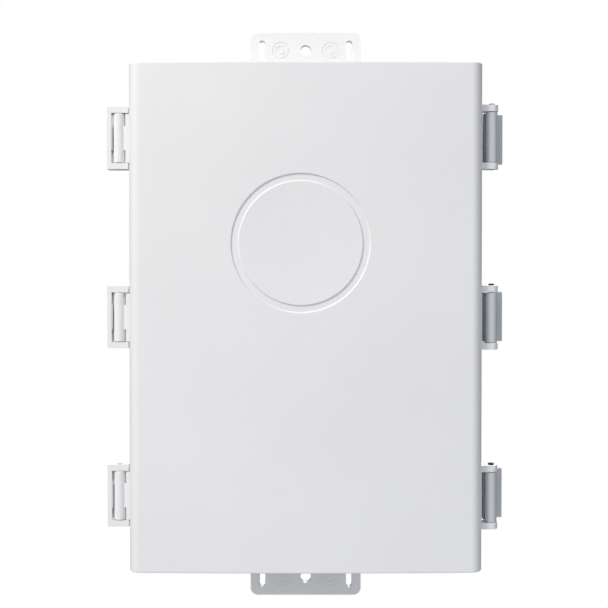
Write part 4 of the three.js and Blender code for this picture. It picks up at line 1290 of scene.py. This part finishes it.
finished(shieldCan(), "tin", "base", "tin_plate", "shield_can")
finished(refined("ethernetJack", "ethernet_jack", 0.3 * mm), "tin", "base", "tin_plate", "ethernet_jack")
jack = {"contacts": 8, "pitch": 1.02 * mm, "back": 4 * mm, "up": 9 * mm,
        "size": (0.4 * mm, 0.5 * mm, 9 * mm)}
jackLow, jackHigh, jackMiddle = spanOf("ethernet_jack")
firstX = jackMiddle.x - (jack["contacts"] - 1) / 2 * jack["pitch"]
contacts = {"Count": jack["contacts"],
            "Start": (firstX, jackHigh.y - jack["back"], jackLow.z + jack["up"]),
            "Step": (jack["pitch"], 0, 0), "Size": jack["size"]}
ridesOn(joined("jackContacts", [grown("contacts", "row", contacts, "brass")]), "base")

transformerForm = {"base": 3 * mm, "baseEdge": 0.5 * mm, "side": 0.18, "coreEdge": 0.6 * mm, "turns": 14,
                   "winding": 0.46, "foot": 2.6 * mm, "top": 0.8 * mm, "groove": 0.25 * mm}


def transformer():
    form = transformerForm
    low, high, middle = spanOf("poe_transformer")
    size = high - low
    foot, turns, side = form["foot"], form["turns"], form["side"] * size.x
    core = boxed((low.x, high.y - form["base"], low.z), high, form["baseEdge"])
    addBox(core, (low.x + side, low.y, low.z), (high.x - side, high.y - 2 * mm, high.z), form["coreEdge"])
    radius = size.x * form["winding"]
    depth = size.y - foot - form["top"]
    profile = [(0, foot)]
    for k in range(turns):
        start = foot + depth * k / turns
        profile += [(radius - form["groove"], start), (radius, start + depth / turns / 2)]
    profile += [(radius - 0.3 * mm, foot + depth), (0, foot + depth)]
    winding = lathed(profile, turnTo((0, -1, 0), (middle.x, high.y, middle.z)), 36)
    return joined("poeTransformer", [inFinish(core, "black"), inFinish(winding, "copper")])


ridesOn(transformer(), "base", ["poe_transformer"])


arresterForm = {"body": 5 * mm, "cap": 1.2 * mm, "wire": 0.5 * mm, "overlap": 0.8 * mm, "ceramic": 0.93}


def arrester():
    form = arresterForm
    low, high, middle = spanOf("surge_arrester")
    radius, half = (high.y - low.y) / 2, (high.x - low.x) / 2
    body, cap, wire = form["body"], form["cap"], form["wire"]
    profile = [(0, -half), (wire, -half), (wire, -body), (radius * 0.9, -body), (radius, -body + 0.4 * mm),
               (radius, -body + cap), (radius * 0.7, -body + cap)]
    profile += [(r, -h) for r, h in reversed(profile)]
    place = turnTo((1, 0, 0), middle)
    inside = body - form["overlap"]
    metal = inFinish(lathed(profile, place, 32), "tin")
    ceramic = inFinish(lathed(drum(radius * form["ceramic"], -inside, inside), place, 32), "nylon")
    return joined("surgeArrester", [metal, ceramic])


ridesOn(arrester(), "base", ["surge_arrester"])
finished(refined("resetSwitch", "reset_switch", 0.3 * mm), "black", "base", "black_plastic",
         "reset_switch")
buttonForm = {"round": 0.25 * mm, "dish": 0.12 * mm}


def resetButton():
    low, high, middle = spanOf("reset_button")
    radius, length = (high.x - low.x) / 2, high.y - low.y
    c, dished = buttonForm["round"], length - buttonForm["dish"]
    profile = [(0, 0), (radius, 0), (radius, length - c), (radius - 0.1 * mm, length - 0.08 * mm),
               (radius - c, length), (radius * 0.6, length), (radius * 0.5, dished), (0, dished)]
    return meshObject("resetButton", lathed(profile, turnTo((0, -1, 0), (middle.x, high.y, middle.z)), 36))


finished(resetButton(), "grey", "reset_button", "grey_plastic", "reset_button")
print("stage: radio board made")

# cover seal and the ribs inside the cover
gasket = refined("coverGasket", "cover_gasket", 0.6 * mm, 4)
finished(gasket, "rubber", "cover", "black_rubber", "cover_gasket")
coverRibs = {"height": 1.6 * mm, "width": 1.3 * mm, "tall": 7, "wide": 9, "margin": 16 * mm}
innerY = coverFrontY + coverForm["wall"] + coverForm["crown"] * 0.3


def insideRibs():
    c = coverRibs
    half = coverHalfWidth - c["margin"]
    halfZ = coverHalfHeight - c["margin"]
    depth = c["height"] + coverForm["crown"]
    y = innerY + depth / 2 - coverForm["crown"] * 0.3
    tall = {"Count": c["tall"], "Start": (-half, y, 0), "Step": (2 * half / (c["tall"] - 1), 0, 0),
            "Size": (c["width"], depth, 2 * halfZ)}
    wide = {"Count": c["wide"], "Start": (0, y, -halfZ), "Step": (0, 0, 2 * halfZ / (c["wide"] - 1)),
            "Size": (2 * half, depth, c["width"])}
    return [grown("ribs", "row", values, "white") for values in (tall, wide)]


ridesOn(joined("coverRibs", insideRibs()), "cover")
print("stage: cover ribs made")

# cable entries in the alcove
hexagon = [math.radians(30 + 60 * k) for k in range(6)]
entrySides = 56


def addHex(bm, x, low, high, corner, bore):
    # a hexagon with its corners turned down at both ends, cut by its bore
    outline = [(x + corner * math.cos(a), glandMiddle.y + corner * math.sin(a)) for a in hexagon]
    solid = meshObject("hexagon", extruded(outline, low, high))
    middle = Matrix.Translation((x, glandMiddle.y, 0))
    flat = corner * 0.9
    drop = (corner - flat) * 0.6
    profile = [(0, low), (flat, low), (corner, low + drop), (corner, high - drop), (flat, high), (0, high)]
    carve(solid, lathed(profile, middle), "INTERSECT")
    if bore:
        carve(solid, lathed(drum(bore, low - over, high + over), middle))
    bm.from_mesh(solid.data)
    bpy.data.objects.remove(solid)


thread = {"pitch": 1.5 * mm, "depth": 0.35 * mm, "boltPitch": 0.8 * mm}


def threaded(radius, low, high, pitch=thread["pitch"]):
    # a saw-toothed outside that reads as a thread
    count = max(2, round((high - low) / pitch))
    step = (high - low) / count
    points = []
    for k in range(count):
        points += [(radius - thread["depth"], low + step * k), (radius, low + step * (k + 0.5))]
    return points + [(radius - thread["depth"], high)]


def entryPiece(name, x, profile, finish, node, extra=None):
    bm = bmesh.new()
    if profile:
        addLathe(bm, profile, Matrix.Translation((x, glandMiddle.y, 0)), entrySides)
    if extra:
        extra(bm)
    obj = dress(meshObject(name, bm), finishes[finish])
    return ridesOn(obj, "base", [node]) if node else obj


gland = {"bore": 4.7 * mm, "stub": 7.4 * mm, "hexHeight": 4.5 * mm, "thread": 7.9 * mm, "hex": 11 * mm,
         "cap": 9.4 * mm, "capRibs": 28, "capRib": (0.9 * mm, 0.9 * mm, 6 * mm), "capFloor": 1.9 * mm,
         "mouth": 8.4 * mm, "sealRadius": 6 * mm, "sealBore": 3.3 * mm, "nutBore": 8 * mm,
         "slack": 0.1 * mm}
gx = glandMiddle.x
gLow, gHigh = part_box("gland_body")
capLow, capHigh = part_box("gland_cap")
sealLow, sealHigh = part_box("gland_seal")
seat = gland["sealRadius"] + gland["slack"]
seatTop = sealHigh.z + gland["slack"]
bodyProfile = [(seat, gLow.z), (gland["stub"] - 0.3 * mm, gLow.z)]
bodyProfile += threaded(gland["stub"], gLow.z + 0.5 * mm, underRoof - gland["hexHeight"])
bodyProfile += [(gland["stub"], underRoof)]
bodyProfile += threaded(gland["thread"], underRoof, gHigh.z - 0.5 * mm)
bodyProfile += [(gland["bore"], gHigh.z), (gland["bore"], seatTop), (seat, seatTop)]
entryPiece("glandBody", gx, bodyProfile, "grey", "gland_body",
           lambda bm: addHex(bm, gx, underRoof - gland["hexHeight"], underRoof, gland["hex"],
                             gland["bore"] + 1 * mm))
sealProfile = [(gland["sealBore"], sealLow.z + 0.6 * mm), (gland["sealBore"] + 0.6 * mm, sealLow.z),
               (gland["sealRadius"], sealLow.z), (gland["sealRadius"], sealHigh.z),
               (gland["sealBore"], sealHigh.z)]
entryPiece("glandSeal", gx, sealProfile, "rubber", "gland_seal")
capInner = gland["stub"] + 0.3 * mm
mouth, capRadius = gland["mouth"], gland["cap"]
capFloor = capLow.z + gland["capFloor"]
capProfile = [(gland["bore"], capFloor), (gland["bore"], capLow.z + 0.5 * mm),
              (gland["bore"] + 0.5 * mm, capLow.z), (mouth - 1 * mm, capLow.z),
              (mouth, capLow.z + 0.8 * mm), (capRadius, capLow.z + 2.2 * mm),
              (capRadius, capHigh.z - 0.3 * mm), (capRadius - 0.3 * mm, capHigh.z),
              (capInner, capHigh.z), (capInner, capFloor)]
capBody = entryPiece("cap", gx, capProfile, "grey", None)
capRibValues = {"Count": gland["capRibs"], "Radius": capRadius - 0.1 * mm, "Size": gland["capRib"],
                "Centre": (gx, glandMiddle.y, (capLow.z + capHigh.z) / 2 + 0.8 * mm)}
capGrip = grown("grip", "ring", capRibValues, "grey")
ridesOn(joined("glandCap", [capBody, capGrip]), "base", ["gland_cap"])
nutLow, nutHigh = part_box("gland_locknut")
entryPiece("glandLocknut", gx, None, "grey", "gland_locknut",
           lambda bm: addHex(bm, gx, nutLow.z, nutHigh.z, (nutHigh.x - nutLow.x) / math.sqrt(3),
                             gland["nutBore"]))

blankForm = {"dimple": 3.2 * mm, "dimpleRim": 3.7 * mm, "thread": 7.9 * mm, "end": 6.4 * mm, "ribs": 32,
             "rib": (0.8 * mm, 0.7 * mm, 2.4 * mm), "ribUp": 1.9 * mm}
plugLow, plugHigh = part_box("entry_plug")
px = axisOf("entry_plug").x
plugRadius = (plugHigh.x - plugLow.x) / 2
plugProfile = [(0, plugLow.z + 0.5 * mm), (blankForm["dimple"], plugLow.z + 0.5 * mm),
               (blankForm["dimpleRim"], plugLow.z),
               (plugRadius - 1.6 * mm, plugLow.z), (plugRadius - 0.7 * mm, plugLow.z + 0.6 * mm),
               (plugRadius - 0.7 * mm, underRoof - 0.8 * mm), (plugRadius, underRoof - 0.6 * mm),
               (plugRadius, underRoof)]
plugProfile += threaded(blankForm["thread"], underRoof, plugHigh.z - 0.4 * mm)
plugProfile += [(blankForm["end"], plugHigh.z), (0, plugHigh.z)]
blank = entryPiece("blank", px, plugProfile, "grey", None,
                   lambda bm: addBox(bm, (px - 3 * mm, glandMiddle.y - 0.5 * mm, plugLow.z),
                                     (px + 3 * mm, glandMiddle.y + 0.5 * mm, plugLow.z + 0.6 * mm)))
gripValues = {"Count": blankForm["ribs"], "Radius": plugRadius - 0.8 * mm, "Size": blankForm["rib"],
              "Centre": (px, glandMiddle.y, plugLow.z + blankForm["ribUp"])}
plugGrip = grown("grip", "ring", gripValues, "grey")
ridesOn(joined("entryPlug", [blank, plugGrip]), "base", ["entry_plug"])

ventLow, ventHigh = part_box("pressure_vent")
vx = axisOf("pressure_vent").x
ventForm = {"radius": 7.3 * mm, "round": 1.2 * mm, "groove": 0.9 * mm, "grooveLow": 2.2 * mm,
            "grooveHigh": 3.2 * mm, "thread": 5.9 * mm, "end": 4.6 * mm}
ventRadius, neck = ventForm["radius"], ventForm["radius"] - ventForm["groove"]
grooveLow, grooveHigh = ventLow.z + ventForm["grooveLow"], ventLow.z + ventForm["grooveHigh"]
ventProfile = [(0, ventLow.z), (ventRadius - ventForm["round"], ventLow.z),
               (ventRadius, ventLow.z + 1 * mm), (ventRadius, grooveLow), (neck, grooveLow),
               (neck, grooveHigh), (ventRadius, grooveHigh), (ventRadius, underRoof)]
ventProfile += threaded(ventForm["thread"], underRoof, ventHigh.z - 0.4 * mm)
ventProfile += [(ventForm["end"], ventHigh.z), (0, ventHigh.z)]
entryPiece("pressureVent", vx, ventProfile, "black", "pressure_vent")

boltLow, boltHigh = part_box("earth_bolt")
ex = axisOf("earth_bolt").x
earth = {"radius": 2.5 * mm, "tip": 1.9 * mm, "headHeight": 3.4 * mm, "hex": 4.6 * mm, "nutBore": 2.6 * mm}
headLow = boltHigh.z - earth["headHeight"]
boltProfile = [(0, boltLow.z), (earth["tip"], boltLow.z)]
boltProfile += threaded(earth["radius"], boltLow.z + 0.4 * mm, headLow, thread["boltPitch"])
boltProfile += [(earth["radius"], headLow + 0.5 * mm), (0, headLow + 0.5 * mm)]
entryPiece("earthBolt", ex, boltProfile, "steel", "earth_bolt",
           lambda bm: addHex(bm, ex, headLow, boltHigh.z, earth["hex"], 0))
earthLow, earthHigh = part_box("earth_nut")
entryPiece("earthNut", ex, None, "brass", "earth_nut",
           lambda bm: addHex(bm, ex, earthLow.z, earthHigh.z, earth["hex"], earth["nutBore"]))
print("stage: entries made")

# camera
shot = {"distance": 600 * mm, "eyeZ": 28 * mm, "pitch": 0.7, "lens": 59.43, "sensor": 36,
        "shiftX": -0.0027, "shiftY": -0.0334}
cameraData = bpy.data.cameras.new("camera")
cameraData.lens = shot["lens"]
cameraData.sensor_width = shot["sensor"]
cameraData.shift_x = shot["shiftX"]
cameraData.shift_y = shot["shiftY"]
camera = bpy.data.objects.new("camera", cameraData)
camera.location = (0, coverFrontY - shot["distance"], shot["eyeZ"])
camera.rotation_euler = Euler((math.radians(90 - shot["pitch"]), 0, 0))
bpy.context.scene.collection.objects.link(camera)
bpy.context.scene.camera = camera

# studio light and floor
studio = {"front": (0.60, 0.618, 0.648), "back": (0.06, 0.065, 0.075), "turnFrom": -0.05, "turnTo": 0.6,
          "toward": (0.12, -0.88, 0.46), "floorDrop": 700 * mm, "floorRadius": 700 * mm, "floorSides": 96}
# degrees left of the front, degrees up, metres away, metres across, watts, colour
lamps = {"keyLight": (50, 42, 2.1, 0.5, 36.0, (1.0, 0.95, 0.89)),
         "rearLight": (-174, 28, 1.8, 0.9, 24.0, (1, 1, 1))}
bpy.context.scene.view_settings.view_transform = "Standard"
world = bpy.data.worlds.new("studioWorld")
bpy.context.scene.world = world
world.use_nodes = True
worldNodes, worldLinks = world.node_tree.nodes, world.node_tree.links
fillLight = worldNodes["Background"]
heading = worldNodes.new("ShaderNodeTexCoord")
facing = worldNodes.new("ShaderNodeVectorMath")
facing.operation = "DOT_PRODUCT"
facing.inputs[1].default_value = studio["toward"]
worldLinks.new(heading.outputs["Generated"], facing.inputs[0])
toFront = worldNodes.new("ShaderNodeMapRange")
toFront.interpolation_type = "SMOOTHSTEP"
toFront.inputs["From Min"].default_value = studio["turnFrom"]
toFront.inputs["From Max"].default_value = studio["turnTo"]
worldLinks.new(facing.outputs["Value"], toFront.inputs["Value"])
fillRamp = worldNodes.new("ShaderNodeValToRGB")
fillRamp.color_ramp.elements[0].color = (*studio["back"], 1)
fillRamp.color_ramp.elements[1].color = (*studio["front"], 1)
worldLinks.new(toFront.outputs["Result"], fillRamp.inputs["Fac"])
worldLinks.new(fillRamp.outputs["Color"], fillLight.inputs["Color"])
backdrop = worldNodes.new("ShaderNodeBackground")
backdrop.inputs["Color"].default_value = (1, 1, 1, 1)
rays = worldNodes.new("ShaderNodeLightPath")
choose = worldNodes.new("ShaderNodeMixShader")
worldLinks.new(rays.outputs["Is Camera Ray"], choose.inputs["Fac"])
worldLinks.new(fillLight.outputs["Background"], choose.inputs[1])
worldLinks.new(backdrop.outputs["Background"], choose.inputs[2])
worldLinks.new(choose.outputs["Shader"], worldNodes["World Output"].inputs["Surface"])


def softLight(name, around, up, distance, size, power, color):
    # a square lamp aimed at the middle of the object
    data = bpy.data.lights.new(name, "AREA")
    data.energy = power
    data.color = color
    data.size = size
    lamp = bpy.data.objects.new(name, data)
    side, rise = math.radians(around), math.radians(up)
    toward = Vector((-math.sin(side) * math.cos(rise), -math.cos(side) * math.cos(rise), math.sin(rise)))
    lamp.location = toward * distance
    lamp.rotation_euler = toward.to_track_quat("Z", "Y").to_euler()
    bpy.context.scene.collection.objects.link(lamp)


for lampName, settings in lamps.items():
    softLight(lampName, *settings)
floorMesh = bmesh.new()
bmesh.ops.create_circle(floorMesh, cap_ends=True, segments=studio["floorSides"],
                        radius=studio["floorRadius"],
                        matrix=Matrix.Translation((0, 0, -studio["floorDrop"])))
floor = meshObject("floor", floorMesh)
paleFloor, floorShader = blankMaterial("paleFloor", (0.8, 0.8, 0.8), 0.7)
varyRoughness(paleFloor, floorShader, 0.62, 0.78, 8.0)
dress(floor, paleFloor)
print("stage: camera and light set")
